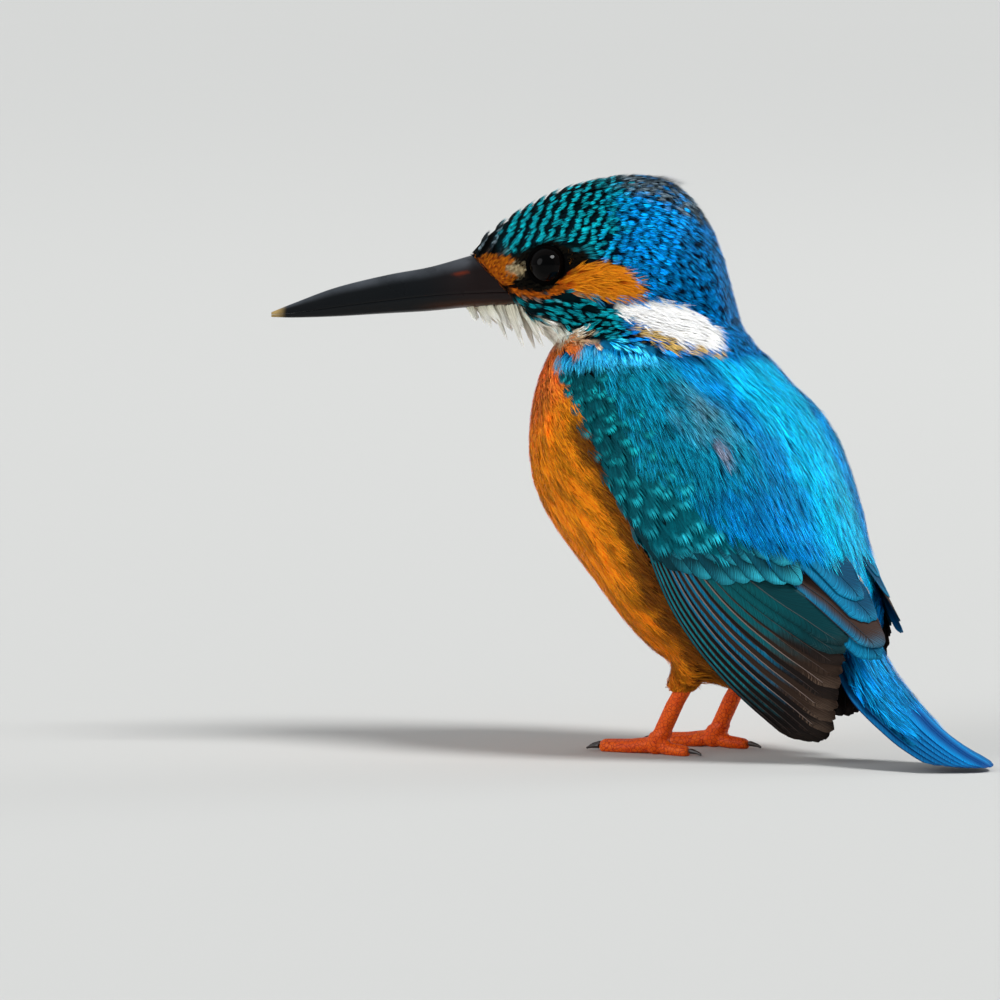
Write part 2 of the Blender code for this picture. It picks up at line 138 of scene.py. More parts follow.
def step(value, low, high):
    """0 below low, 1 above high, and a smooth rise between them."""
    f = np.clip((np.asarray(value, float) - low) / (high - low), 0.0, 1.0)
    return f * f * (3 - 2 * f)


def between(value, stations):
    """A line through (place, value) pairs, rounded at its corners."""
    places, values = (np.array(column, float) for column in zip(*stations))
    reach = 0.35 * np.min(np.diff(places))
    return sum(np.interp(value + shift * reach, places, values) for shift in (-1, -0.5, 0, 0.5, 1)) / 5


def pairs(table, index):
    """The first value of each row with the one at an index, as pairs for between."""
    return [(row[0], row[index]) for row in table]


def wing_point(way, along, degrees, raised):
    """A point on the carrier; way is 1 for the left wing and -1 for the right."""
    way, along, degrees, raised = np.broadcast_arrays(way, along, degrees, raised)
    along = along - np.where(way < 0, RIGHT_WING_TUCK * step(along, 0.0, 80.0), 0.0)
    centre, depth, width = np.moveaxis(curve(CARRIER, along / 10), -1, 0)
    a = np.radians(degrees)
    out = centre + (depth + raised) * np.cos(a)
    x = WING_START[0] + WING_SLOPE[0] * along - WING_SLOPE[1] * out
    z = WING_START[1] + WING_SLOPE[1] * along + WING_SLOPE[0] * out
    return np.stack([x, -way * (width + raised) * np.sin(a), z], -1)


def body_place(points):
    """Along, degrees from the back and side (1 left, -1 right), for each point."""
    x, z = points[:, 0] - WING_START[0], points[:, 2] - WING_START[1]
    along = WING_SLOPE[0] * x + WING_SLOPE[1] * z
    out = -WING_SLOPE[1] * x + WING_SLOPE[0] * z
    centre, depth, width = np.moveaxis(curve(CARRIER, along / 10), -1, 0)
    degrees = np.degrees(np.arctan2(np.abs(points[:, 1]) / width, (out - centre) / depth))
    return along, degrees, np.where(points[:, 1] < 0, 1.0, -1.0)


def tail_point(share, across, lift):
    """Share of the tail's length, distance across, and height over its middle surface."""
    share, across, lift = np.broadcast_arrays(share, across, lift)
    bend = TAIL_SLOPES[1] - TAIL_SLOPES[0]
    slope = TAIL_SLOPES[0] + bend * share
    x = TAIL_ROOT[0] + TAIL_LENGTH / bend * (np.sin(slope) - math.sin(TAIL_SLOPES[0]))
    z = TAIL_ROOT[1] + TAIL_LENGTH / bend * (np.cos(slope) - math.cos(TAIL_SLOPES[0]))
    return np.stack([x + lift * np.sin(slope), across, z + lift * np.cos(slope)], -1)


print("wing tip:", wing_point(1, 73, 127, 0).round(1), "tail tip:", tail_point(1, 0, 0).round(1))

# %% [markdown]
# ## Camera
# The camera comes first, so that each piece can be looked at as soon as it is made. A short lens close
# by would swell the head, so a long one from 1.6 m is used, which keeps the bird's proportions.

# %% Camera
VIEW_AROUND, VIEW_UP = math.radians(38), math.radians(4)
VIEW_DISTANCE, VIEW_HEIGHT_MM = 1.6, 166.67
AIM_RIGHT_MM, AIM_UP_MM = -30.4, 41.67
SENSOR_MM = 36.0
ca, sa, ce, se = math.cos(VIEW_AROUND), math.sin(VIEW_AROUND), math.cos(VIEW_UP), math.sin(VIEW_UP)
view_right = Vector((ca, sa, 0))
view_ahead = Vector((-sa * ce, ca * ce, -se))
view_up = Vector((-sa * se, ca * se, ce))
aim = Vector(to_world((0, 0, 0))) + view_right * (AIM_RIGHT_MM * MM) + view_up * (AIM_UP_MM * MM)
camera_data = bpy.data.cameras.new("camera")
camera_data.sensor_width = SENSOR_MM
camera_data.lens = SENSOR_MM * VIEW_DISTANCE / (VIEW_HEIGHT_MM * MM)
camera_data.clip_end = 100.0
camera = bpy.data.objects.new("camera", camera_data)
turn = Matrix((view_right, view_up, -view_ahead)).transposed().to_4x4()
camera.matrix_world = Matrix.Translation(aim - view_ahead * VIEW_DISTANCE) @ turn
bpy.context.scene.collection.objects.link(camera)
bpy.context.scene.camera = camera
bpy.context.scene.view_settings.view_transform = "Standard"
print("lens, mm:", round(camera_data.lens, 1))

# %% [markdown]
# ## Helpers for meshes
# Most pieces start as arrays of points, because whole arrays are quick to bend and compare. These
# helpers turn arrays into Blender meshes and back, apply modifiers, and keep a list of what was made.

# %% Small helpers for meshes
made = {}


def link(name, mesh):
    """Puts a mesh in the scene as an object and remembers it."""
    shape = bpy.data.objects.new(name, mesh)
    bpy.context.scene.collection.objects.link(shape)
    made[name] = shape
    return shape


def drop(shape):
    """Takes a helper object away once it has served."""
    del made[shape.name]
    bpy.data.objects.remove(shape)


def smooth(mesh):
    mesh.polygons.foreach_set("use_smooth", [True] * len(mesh.polygons))


def dress(shape, material):
    shape.data.materials.clear()
    shape.data.materials.append(material)


def mesh_from(name, points, faces):
    """A smooth mesh from points in the bird's millimetres."""
    mesh = bpy.data.meshes.new(name)
    mesh.from_pydata(to_world(points).tolist(), [], faces)
    smooth(mesh)
    return mesh


def vertex_vectors(mesh, field):
    flat = np.empty(len(mesh.vertices) * 3)
    mesh.vertices.foreach_get(field, flat)
    return flat.reshape(-1, 3)


def mesh_points(mesh):
    return vertex_vectors(mesh, "co")


def mesh_normals(mesh):
    return vertex_vectors(mesh, "normal")


def move_points(mesh, points):
    mesh.vertices.foreach_set("co", points.ravel())


def triangle_count(shape):
    return sum(len(p.vertices) - 2 for p in shape.data.polygons)


def fixed(shape):
    """The shape with its modifiers applied, as a plain mesh."""
    graph = bpy.context.evaluated_depsgraph_get()
    old = shape.data
    shape.data = bpy.data.meshes.new_from_object(shape.evaluated_get(graph))
    shape.data.name = shape.name
    shape.modifiers.clear()
    if old.users == 0:
        bpy.data.meshes.remove(old)
    return shape


def give(mesh, name, kind, values, domain="POINT"):
    """Stores one value for each point (or corner) of a mesh under a name."""
    attribute = mesh.attributes.new(name, kind, domain)
    field = {"FLOAT": "value", "INT": "value", "FLOAT_COLOR": "color"}.get(kind, "vector")
    number = np.int32 if kind == "INT" else np.float32
    attribute.data.foreach_set(field, np.ascontiguousarray(values, dtype=number).ravel())


def quads_of(index):
    """Four corners for every face of a grid of point numbers."""
    return np.stack([index[:-1, :-1], index[:-1, 1:], index[1:, 1:], index[1:, :-1]], -1).reshape(-1, 4)


def surface_tree(shape):
    """A search tree that finds the nearest place on a shape, or where a ray meets it."""
    return BVHTree.FromPolygons([tuple(v) for v in mesh_points(shape.data)],
                                [tuple(p.vertices) for p in shape.data.polygons])


print("mesh helpers: link, drop, mesh_from, fixed, give, surface_tree")

# %% [markdown]
# ## Floor and light
# Soft light shows feathers best. A broad key above the bird's back makes the blue glow, a weaker
# light opens the breast, and a panel behind draws the edges. Suns are used for the first two,
# because their light is the same on every feather, however close.

# %% Floor and lights
FLOOR_REACH = 30.0  # metres, so that no edge of it shows


def add_light(name, kind, right, up, toward, strength, **shape):
    """A lamp placed from the bird by the camera's directions, in metres, and turned to the bird."""
    data = bpy.data.lights.new(name, kind)
    data.energy = strength
    for key, value in shape.items():
        setattr(data, key, value)
    lamp = bpy.data.objects.new(name, data)
    way = view_right * right + Vector((0, 0, up)) - view_ahead * toward
    turned = (-way).to_track_quat("-Z", "Y").to_matrix().to_4x4()
    lamp.matrix_world = Matrix.Translation(aim + way) @ turned
    bpy.context.scene.collection.objects.link(lamp)


def finish(name, **constants):
    """A material whose constants sit on the shader's own sockets."""
    material = bpy.data.materials.new(name)
    material.use_nodes = True
    shader = material.node_tree.nodes["Principled BSDF"]
    for label, value in constants.items():
        shader.inputs[label.replace("_", " ")].default_value = value
    return material, material.node_tree, shader


floor_mesh = bpy.data.meshes.new("studio_floor")
corners = [(x * FLOOR_REACH, y * FLOOR_REACH, 0) for x, y in ((-1, -1), (1, -1), (1, 1), (-1, 1))]
floor_mesh.from_pydata(corners, [], [(0, 1, 2, 3)])
floor = link("studio_floor", floor_mesh)
FLOOR_GREY = (0.56, 0.56, 0.545, 1)
dress(floor, finish("pale_floor", Base_Color=FLOOR_GREY, Roughness=0.9, Specular_IOR_Level=0.0)[0])
add_light("key_light", "SUN", 0.50, 0.80, 0.30, 2.8, angle=math.radians(20))
add_light("front_light", "SUN", -0.80, 0.36, 0.50, 1.25, angle=math.radians(40))
add_light("rim_panel", "AREA", 2.2, 0.9, -1.4, 17.0, size=1.2)
world = bpy.data.worlds.new("studio")
world.use_nodes = True
sky = world.node_tree.nodes["Background"]
sky.inputs["Color"].default_value = (0.9, 0.95, 1.0, 1)
sky.inputs["Strength"].default_value = 0.36
bpy.context.scene.world = world

# %% [markdown]
# ## One skin under the feathers
# Under its feathers a bird is one unbroken body. Copies of the flesh solids are swollen until they
# meet, joined, and remeshed into a single closed surface. It is then drawn in by the depth of the
# plumage, least on the face, so that the feathers end where the solids did.

# %% Skin
FLESH = ["head", "neck", "trunk", "thigh_left", "thigh_right", "wing_coverts_left", "wing_coverts_right"]
SWELL, SKIN_CELL = 0.30, 0.60
NECKLINE = 66.8  # the height at which the head's feathers take over
BODY_DEPTH, HEAD_DEPTH = 1.05, 0.80
FACE_LESS, ANKLE_LESS = 0.35, 0.35


def flesh(name, parts, swell, cell, rounds):
    """Copies of solids, swollen, joined and remeshed into one smooth closed surface."""
    joined = bmesh.new()
    for part in parts:
        piece = bmesh.new()
        piece.from_mesh(nodes[part].data)
        bmesh.ops.remove_doubles(piece, verts=piece.verts, dist=1e-6)
        piece.normal_update()
        for vertex in piece.verts:
            vertex.co += vertex.normal * swell * MM
        copied = bpy.data.meshes.new(part + "_copy")
        piece.to_mesh(copied)
        piece.free()
        joined.from_mesh(copied)
        bpy.data.meshes.remove(copied)
    mesh = bpy.data.meshes.new(name)
    joined.to_mesh(mesh)
    joined.free()
    shape = link(name, mesh)
    remesh = shape.modifiers.new("one_surface", "REMESH")
    remesh.mode = "VOXEL"
    remesh.voxel_size = cell * MM
    soften = shape.modifiers.new("soften", "SMOOTH")
    soften.factor = 0.5
    soften.iterations = rounds
    return fixed(shape)


def coat_depth(points):
    """How far the skin lies under the solids, in millimetres."""
    ahead = head_place(points)[0]
    on_head = step(points[:, 2], NECKLINE - 1, NECKLINE + 3)
    face = step(ahead, 6, 16)
    ankle = step(points[:, 2], 15, 11)
    return BODY_DEPTH + (HEAD_DEPTH - FACE_LESS * face - BODY_DEPTH) * on_head - ANKLE_LESS * ankle


def body_under_coat(name, parts, swell, cell, rounds):
    """Joined flesh, drawn in by its swelling and by the depth of the coat."""
    shape = flesh(name, parts, swell, cell, rounds)
    points, normals = mesh_points(shape.data), mesh_normals(shape.data)
    depth = coat_depth(to_bird(points)) + swell
    move_points(shape.data, points - normals * depth[:, None] * MM)
    shape.data.update()
    return shape


skin = body_under_coat("skin", FLESH, SWELL, SKIN_CELL, 4)
smooth(skin.data)
print("skin:", len(skin.data.polygons), "faces")

# %% [markdown]
# ## The surface that the outer feathers lie on
# Back feathers spread over the folded wings, so they can't lie on the skin alone. A second surface,
# made in the same way but with wings and tail, is the ground that they drape on.

# %% Under layer
LAYER_SWELL, LAYER_CELL, LAYER_ROUNDS = 0.25, 0.70, 6
WING_AND_TAIL = [f"wing_{part}_{side}" for part in ("secondaries", "primaries") for side in ("left", "right")]
WING_AND_TAIL.append("tail")
under_layer = body_under_coat("under_layer", FLESH + WING_AND_TAIL, LAYER_SWELL, LAYER_CELL, LAYER_ROUNDS)
print("under layer:", len(under_layer.data.polygons), "faces")

# %% [markdown]
# ## Markings
# The kingfisher's markings are few: a crown barred in cyan, a black mask with an orange lore, orange
# ear coverts, a teal moustache, a white neck patch and chin, a brilliant stripe down the back, dark
# teal wings with cyan spots, and orange underparts. Each is a band or a range in the bird's own axes,
# so skin and feathers read the same formula and always agree.

# %% Inks, bands and ripples
def ink(code):
    """A web colour as linear red, green and blue."""
    part = np.array([int(code[i:i + 2], 16) for i in (1, 3, 5)]) / 255
    return np.where(part <= 0.04045, part / 12.92, ((part + 0.055) / 1.055) ** 2.4)


def band(ahead, z, path):
    """How deep each point lies inside a band drawn through (ahead, z, half width) places."""
    depth = np.full(np.shape(ahead), -1e3)
    for (f0, z0, w0), (f1, z1, w1) in zip(path, path[1:]):
        run = (f1 - f0) ** 2 + (z1 - z0) ** 2
        share = np.clip(((ahead - f0) * (f1 - f0) + (z - z0) * (z1 - z0)) / run, 0, 1)
        gap = np.hypot(ahead - f0 - share * (f1 - f0), z - z0 - share * (z1 - z0))
        depth = np.maximum(depth, w0 + (w1 - w0) * share - gap)
    return depth


def ripple(points, scale, phase=0.0):
    """A gentle repeatable unevenness between -1 and 1, for edges and worn places."""
    x, y, z = (points * scale).T
    return (np.sin(x * 1.7 + 2.1 * np.sin(y * 1.3 + phase)) + np.sin(y * 2.3 + 1.7 * np.sin(z * 1.1 + x))
            + np.sin(z * 1.9 + 1.3 * np.sin(x * 0.9 + phase))) / 3


print("teal, linear:", ink("#0894A2").round(3))

# %% Bands of the face, as places ahead, up and half width
EAR = [(14.2, 77.9, 0.8), (11.0, 78.6, 2.1), (7.2, 78.7, 2.6), (4.0, 77.9, 1.7)]
EYE_LINE = [(22.5, 76.9, 0.4), (17.2, 76.0, 0.5), (14.0, 77.3, 0.7)]
LORE = [(29.5, 79.8, 2.1), (23.6, 79.9, 2.2)]
LORE_SPOT = [(22.3, 80.1, 1.0), (21.2, 80.0, 1.15)]
MASK = [(28.0, 77.4, 1.8), (22.0, 79.0, 2.8), (16.2, 80.6, 4.2), (12.0, 81.2, 2.4)]
MOUSTACHE = [(19.5, 74.0, 1.2), (13.8, 73.8, 2.5), (8.8, 71.6, 3.0), (3.0, 69.6, 2.6), (-1.8, 67.6, 1.4)]
NECK_PATCH = [(3.4, 73.7, 1.8), (-0.8, 73.1, 3.0), (-5.2, 71.4, 3.0), (-8.8, 69.8, 2.0)]
FACE_BANDS = (EAR, EYE_LINE, LORE, LORE_SPOT, MASK, MOUSTACHE, NECK_PATCH)
print("bands of the face:", len(FACE_BANDS))

# %% Looks of the plumage
LOOKS = {
    # name: (colour at the root, colour at the tip, length, width, height over the skin)
    "crown": ("#01080A", "#05A0AE", 3.0, 1.0, 0.75),
    "hind_crown": ("#010A1C", "#04A4FF", 3.6, 1.0, 0.90),
    "forehead": ("#030404", "#2C3438", 2.2, 0.8, 0.65),
    "mask": ("#020202", "#060707", 1.4, 0.7, 0.40),
    "lore": ("#7A2C06", "#E07C14", 1.5, 0.6, 0.40),
    "lore_spot": ("#8E7650", "#D8C8A0", 1.1, 0.45, 0.40),
    "eye_line": ("#A34A06", "#E8791A", 1.3, 0.5, 0.45),
    "ear": ("#B84604", "#FFA01C", 4.2, 1.1, 0.90),
    "moustache": ("#010C10", "#0894A2", 2.7, 0.9, 0.70),
    "moustache_back": ("#010B1E", "#0A86E6", 3.1, 1.0, 0.85),
    "neck_patch": ("#F2F0E8", "#FFFFFF", 4.4, 1.2, 1.05),
    "neck_fringe": ("#7A5418", "#FFDA80", 3.4, 0.8, 1.00),
    "chin": ("#E6E2CC", "#FFFFF6", 3.0, 1.3, 0.70),
    "throat": ("#A06A38", "#F0CFA0", 3.2, 1.1, 0.80),
    "breast_top": ("#B04C10", "#FF8C3C", 3.8, 1.1, 0.95),
    "breast": ("#C65E06", "#FFA01A", 4.4, 1.1, 1.05),
    "belly": ("#B25404", "#FF9614", 4.4, 1.1, 1.00),
    # undertail_shade: longer feathers low on the body, whose darker orange is painted shade under the body
    "undertail_shade": ("#5E2804", "#B8651A", 4.8, 1.4, 0.90),
    # flank_fringe_shade: longer strands at the wing's edge, whose dark browns are painted shade of the crease
    # under the wing
    "flank_fringe_shade": ("#180A03", "#7E460C", 5.4, 1.1, 1.20),
    "shoulder": ("#0A90D0", "#40D4FF", 3.6, 1.1, 1.05),
    "mantle": ("#022A38", "#0CAAD2", 5.4, 1.2, 1.05),
    "worn": ("#24363C", "#86A2A8", 5.2, 1.2, 1.05),
    "scapular": ("#01223C", "#06A0F0", 6.6, 1.3, 1.25),
    "back_edge": ("#024E80", "#04B0F8", 6.4, 1.4, 1.20),
    "back": ("#0094D0", "#08DCFF", 6.6, 1.4, 1.30),
    "rump": ("#0470B0", "#06C8FA", 6.6, 1.4, 1.20),
    "tail_cover": ("#023C70", "#06A8F0", 7.6, 1.5, 1.10),
    "crest": ("#040607", "#66757C", 3.8, 0.9, 1.00),
    "lilac": ("#3C4A66", "#C6C4DE", 5.0, 1.0, 1.30),
    "cream": ("#A85A18", "#F6D79A", 5.0, 1.3, 1.30),
    "wing_bed": ("#02191C", "#063A40", 2.2, 1.0, 0.40),
}
COLUMNS = ("root", "tip", "length", "width", "height")
print(len(LOOKS), "looks")

# %% Painting with looks
HALF_CHOICE = 0.22  # how sharply a feather picks its side of a border


def start_look(count, name):
    """One look for all of the feathers."""
    root, tip, *sizes = LOOKS[name]
    look = {"root": np.tile(ink(root), (count, 1)), "tip": np.tile(ink(tip), (count, 1))}
    look.update({label: np.full(count, size) for label, size in zip(COLUMNS[2:], sizes)})
    return look


def paint(look, mask, name):
    """Lays a look over the others where the mask is 1; on a border, each feather picks a side."""
    other = start_look(len(mask), name)
    picked = step(mask, look["pick"] - HALF_CHOICE, look["pick"] + HALF_CHOICE)
    mask = mask + (picked - mask) * look["choosy"]
    for label in COLUMNS:
        share = mask[:, None] if look[label].ndim == 2 else mask
        look[label] = look[label] + (other[label] - look[label]) * share


def feather_picks(points):
    """A number near 0.5 that differs from feather to feather: the side that each one picks."""
    return 0.5 + 0.27 * ripple(points, 30.0)


print("a look holds:", sorted(start_look(1, "crown")))

# %% [markdown]
# ## The head's markings
# The looks are laid on as a painter would: crown first, then mask, chin and breast, then moustache,
# neck patch, ear and the small marks by the eye. Waves keep each border from looking ruled. A second
# function says which way the feathers point.

# %% Head markings
def chin_line(ahead):
    """The height below which the chin is white; it falls towards the cheek."""
    return 73.9 - 0.42 * np.maximum(19 - ahead, 0)


def head_look(points):
    """Colours and sizes of the feathers anywhere on the head."""
    ahead, side, z = head_place(points)
    wave = ripple(points, 0.9)
    far = np.abs(side)
    look = start_look(len(points), "crown")
    look["pick"], look["choosy"] = feather_picks(points), 0.75
    paint(look, step(-ahead - 0.25 * (z - 84) + 1.5 * wave, -15, 1), "hind_crown")
    worn_line = between(ahead, [(-10, 88.0), (-4, 90.4), (3, 92.4), (10, 93.6)])
    ruffled = step(z + wave - worn_line, -0.8, 0.8) * step(9 - ahead, 0, 4)
    ruffled = ruffled * step(ripple(points, 2.6), -0.6, -0.1)
    paint(look, ruffled * 0.9, "crest")
    paint(look, step(ahead + wave * 0.5, 23.6, 25.6) * step(z, 80.5, 82), "forehead")
    paint(look, step(band(ahead, z, MASK), -0.3, 0.4) * step(far, 2, 4), "mask")
    paint(look, step(chin_line(ahead) - z + 0.4 * wave, -0.5, 0.5) * step(ahead, 2, 5), "chin")
    throat = step(69.4 - z + 0.5 * wave, -0.8, 0.8) * step(ahead, 4, 6) * step(16 - ahead, 0, 3)
    paint(look, throat, "throat")
    breast = step(68.3 - z + 0.5 * wave, -0.6, 0.6) * step(ahead + 2 * ripple(points, 2.0), 4, 7)
    paint(look, breast, "breast_top")
    back = step(8 - ahead, 0, 7)
    lip = step(band(ahead, z, MOUSTACHE) + 0.3 * wave, -0.3, 0.4)
    paint(look, lip, "moustache")
    paint(look, lip * back, "moustache_back")
    collar = step(68.9 - 0.1 * np.abs(ahead - 5) - z + 0.5 * wave, -0.5, 0.5) * step(12 - ahead, 0, 3)
    paint(look, collar * step(ahead, -3, 0), "shoulder")
    patch = band(ahead, z, NECK_PATCH)
    paint(look, step(patch + 0.3 * wave, -0.3, 0.4), "neck_patch")
    under = between(ahead, pairs(NECK_PATCH[::-1], 1)) - z
    torn = ripple(points, 4.0)
    ragged = step(under + 0.7 * torn, 1.4, 1.9) * step(patch + 0.5 * torn, -1.5, -1.0)
    ragged = ragged * step(4 - ahead, 0, 2) * step(0.6 - patch, 0, 0.6)
    paint(look, ragged, "moustache_back")
    paint(look, ragged * step(ripple(points, 6.0), -0.40, -0.10), "neck_fringe")
    paint(look, step(band(ahead, z, EAR) + 0.3 * wave, -0.3, 0.4), "ear")
    paint(look, step(band(ahead, z, LORE), -0.3, 0.3), "lore")
    paint(look, step(band(ahead, z, LORE_SPOT), -0.3, 0.3), "lore_spot")
    paint(look, step(band(ahead, z, EYE_LINE), -0.15, 0.15), "eye_line")
    return look


HEAD_HUB = (8.0, 62.0)  # ahead and up of the point that the head's feathers circle round


def head_lie(points):
    """Which way the head's feathers point: back over the crown and down the nape."""
    ahead, _, z = head_place(points)
    back, up = -(z - HEAD_HUB[1]), ahead - HEAD_HUB[0]
    size = np.hypot(back, up)
    back, up = back / size, up / size
    cheek = step(79 - z, 0, 3) * step(ahead, -14, -6)
    drop = -0.22 - 0.30 * step(12 - ahead, 0, 14)
    back, up = back + (-1.0 - back) * cheek, up + (drop - up) * cheek
    chin = step(73.5 - z, 0, 2) * step(ahead, 10, 16)
    back, up = back + (-0.8 - back) * chin, up + (-0.6 - up) * chin
    low = step(69.3 - z, 0, 1.6) * step(13 - ahead, 0, 3) * step(ahead, -5, 0)
    back, up = back + (-0.35 - back) * low, up + (-1.0 - up) * low
    return back[:, None] * head_ahead + up[:, None] * UP


brow = head_look(head_point(22.0, 5.0, 86.0)[None])
print("colour over the brow:", brow["tip"][0].round(3), "length, mm:", brow["length"].round(2))

# %% [markdown]
# ## The body's markings
# Three lines run down the body: the wing's lower edge, the edge of the shoulder feathers, and the
# blue stripe's edge. They are tables of (along, degrees). What lies between two lines gets one look,
# and slow ripples darken and brighten whole locks, as plumage does where it parts.

# %% Body markings
WING_EDGE = [(-20, 84), (0, 79), (6.6, 79), (14.2, 82), (22, 84.4), (29.6, 87.2), (36.4, 91.6),
             (43, 97.4), (49.4, 108), (54, 120.6), (60.4, 131), (66, 139), (80, 150)]
SCAPULAR_EDGE = [(5, 58), (12, 64), (18.8, 67), (26.8, 69), (33.4, 62), (42.4, 55), (49, 41), (54, 16),
                 (60, 10)]
STRIPE_EDGE = [(-5, 20), (10, 20), (20, 18), (35, 15), (50, 18), (70, 40)]


def shoulder_line(degrees):
    """How far down the body the roots of the shoulder patch reach."""
    return 6.4 - 0.22 * (degrees - 45)


def spot_depth(along, degrees, centre, reach):
    """1 in the middle of an oval spot of the body, 0 at its rim, and less outside."""
    return 1 - np.hypot((along - centre[0]) / reach[0], (degrees - centre[1]) / reach[1])


def body_look(points):
    """Colours and sizes of the feathers anywhere on the body."""
    along, degrees, way = body_place(points)
    wave = ripple(points, 0.6)
    edge = between(along, WING_EDGE)
    look = start_look(len(points), "breast")
    look["pick"], look["choosy"] = feather_picks(points), 0.3
    paint(look, step(9 - along + 2 * wave, 0, 14), "breast_top")
    paint(look, step(along + 2 * wave, 34, 44), "belly")
    # Painted shade: the underparts darken towards the bottom of the body, at a little over half strength,
    # where the feathers also grow longer
    paint(look, step(28 - points[:, 2] + 3 * wave, 0, 12) * 0.55, "undertail_shade")
    # Where the belly meets the wing the strands grow longer and sweep over it; their dark colour is painted
    # shade of the crease under the wing's edge, reaching further down the body
    deep = 8 + 14 * step(along, 20, 42)
    fringe = step(edge + deep - degrees + 3 * wave, -6, 6) * step(along, 5, 10)
    paint(look, fringe, "flank_fringe_shade")
    upper = step(edge - degrees + 1.5 * wave, -1.5, 1.5)
    paint(look, upper, "wing_bed")
    scapular = between(along, SCAPULAR_EDGE)
    cover = upper * step(scapular - degrees + 3 * wave, -3, 3)
    paint(look, cover, "mantle")
    near = step(shoulder_line(degrees) - along + 0.8 * wave, -0.8, 0.8)
    paint(look, upper * near * step(degrees, 32, 42), "shoulder")
    worn = step(spot_depth(along, degrees, (19, 38), (9, 12)) + 0.4 * wave, 0, 0.9)
    paint(look, cover * worn * 0.5, "worn")
    paint(look, cover * step(along + 2 * wave, 26, 38), "scapular")
    stripe = between(along, STRIPE_EDGE)
    before_tail = step(70 - along, 0, 8)
    paint(look, step(stripe + 12 - degrees + 3 * wave, -4, 4) * before_tail, "back_edge")
    paint(look, step(stripe - degrees + 3 * wave, -5, 5) * before_tail, "back")
    paint(look, step(spot_depth(along, degrees, (26.5, 41), (4, 3.2)), 0.1, 0.6) * 0.8, "lilac")
    paint(look, step(along + 2 * wave, 50, 56) * step(50 - degrees, 0, 8), "rump")
    paint(look, step(spot_depth(along, way * degrees, (56.5, 6), (8, 7)), 0.0, 0.2), "cream")
    paint(look, step(along + wave, 62, 68) * step(80 - degrees, 0, 10), "tail_cover")
    locks = ripple(np.c_[0.3 * along, 0.25 * degrees, way], 1.0, 4.0)
    patchy = 1 + 0.20 * ripple(points, 0.42, 2.0) + (0.45 - 0.25 * upper) * locks
    for label in ("root", "tip"):
        look[label] = look[label] * patchy[:, None]
    return look


def body_lie(points):
    """Down the body, spreading from the mantle over the wing."""
    along, degrees, way = body_place(points)
    ahead = wing_point(way, along + 1, degrees, 0) - wing_point(way, along, degrees, 0)
    around = wing_point(way, along, degrees + 3, 0) - wing_point(way, along, degrees, 0)
    ahead /= np.linalg.norm(ahead, axis=1)[:, None]
    around /= np.linalg.norm(around, axis=1)[:, None]
    edge = between(along, WING_EDGE)
    spread = 0.38 * step(degrees, 34, 70) * step(46 - along, 0, 20) * (degrees < edge)
    gather = -0.28 * step(degrees - edge, 0, 2) * step(edge + 40 - degrees, 0, 30)
    return ahead + (spread + gather)[:, None] * around


def look_of(points):
    """Markings, sizes and lie of the plumage anywhere on the bird."""
    on_head = points[:, 2] > NECKLINE
    head, body = head_look(points), body_look(points)
    look = {"on_head": on_head, "lie": np.where(on_head[:, None], head_lie(points), body_lie(points))}
    for label in COLUMNS:
        mask = on_head[:, None] if head[label].ndim == 2 else on_head
        look[label] = np.where(mask, head[label], body[label])
    return look


stripe = body_look(wing_point(1, 40.0, 8.0, 0.0))
print("colour of the stripe:", stripe["tip"][0].round(3), "length, mm:", stripe["length"].round(2))

# %% [markdown]
# ## The unwrap that every coat shares
# Baked colours need a flat map. The skin is cut into two charts, the head's round the upright line
# and the body's round its axis. Every feather later takes a small patch at the place of its root, so
# neighbours on the bird are neighbours on the map.

# %% Charts and the skin's own colours
def chart_place(points, on_head):
    """Where a point of the skin lies on its flat unwrap: the head's chart, then the body's."""
    ahead, side, z = head_place(points)
    head_u = np.arctan2(side, z - 80.0) / (2 * math.pi)
    along, degrees, way = body_place(points)
    body_u = way * degrees / 360
    u = np.where(on_head, 0.25 + 0.46 * head_u, 0.75 + 0.46 * body_u)
    v = np.where(on_head, (ahead + 20) / 54, (along + 24) / 110)
    return np.stack([u, np.clip(v, 0.01, 0.99)], -1)


def unwrap_skin(mesh):
    """OFBake for the skin: each face keeps to one chart and one side of its seam."""
    points = to_bird(mesh_points(mesh))
    corner = np.empty(len(mesh.loops), np.int32)
    mesh.loops.foreach_get("vertex_index", corner)
    face_of = np.repeat(np.arange(len(mesh.polygons)), [p.loop_total for p in mesh.polygons])
    counts = np.bincount(face_of)
    centres = np.stack([np.bincount(face_of, points[corner, i]) / counts for i in range(3)], -1)
    on_head = centres[:, 2] > NECKLINE
    middle = chart_place(centres, on_head)[face_of]
    place = chart_place(points[corner], on_head[face_of])
    drift = place[:, 0] - middle[:, 0]
    place[:, 0] -= np.where(np.abs(drift) > 0.23, np.sign(drift) * 0.46, 0.0)
    give(mesh, "OFBake", "FLOAT2", np.clip(place, 0.002, 0.998), "CORNER")


skin_points = to_bird(mesh_points(skin.data))
skin_look = look_of(skin_points)
warm = skin_look["tip"][:, 0] > 0.3  # blue feathers are dark at the skin, orange ones are not
tip_share = np.where(warm, 0.50, 0.04)[:, None]
skin_colour = np.c_[skin_look["root"] * 0.6 + skin_look["tip"] * tip_share, np.ones(len(skin_points))]
give(skin.data, "marking", "FLOAT_COLOR", skin_colour)
unwrap_skin(skin.data)
print("skin markings on", len(skin_points), "points")

# %% [markdown]
# ## Feather patterns
# A few small shapes are enough for the whole coat: a lock of loose strands for the breast, a longer
# one for the mantle, a coarse barbed scale for the crown, a fine one for the wing, and a point.
# Each is drawn once, one unit wide and one long, and carries its own numbers: "along" runs from root
# to tip, "strand" differs from barb to barb, and "rise" is how far it lifts from the skin.

# %% Pattern shapes
pattern_box = bpy.data.collections.new("feather_patterns")
PATTERNS = []


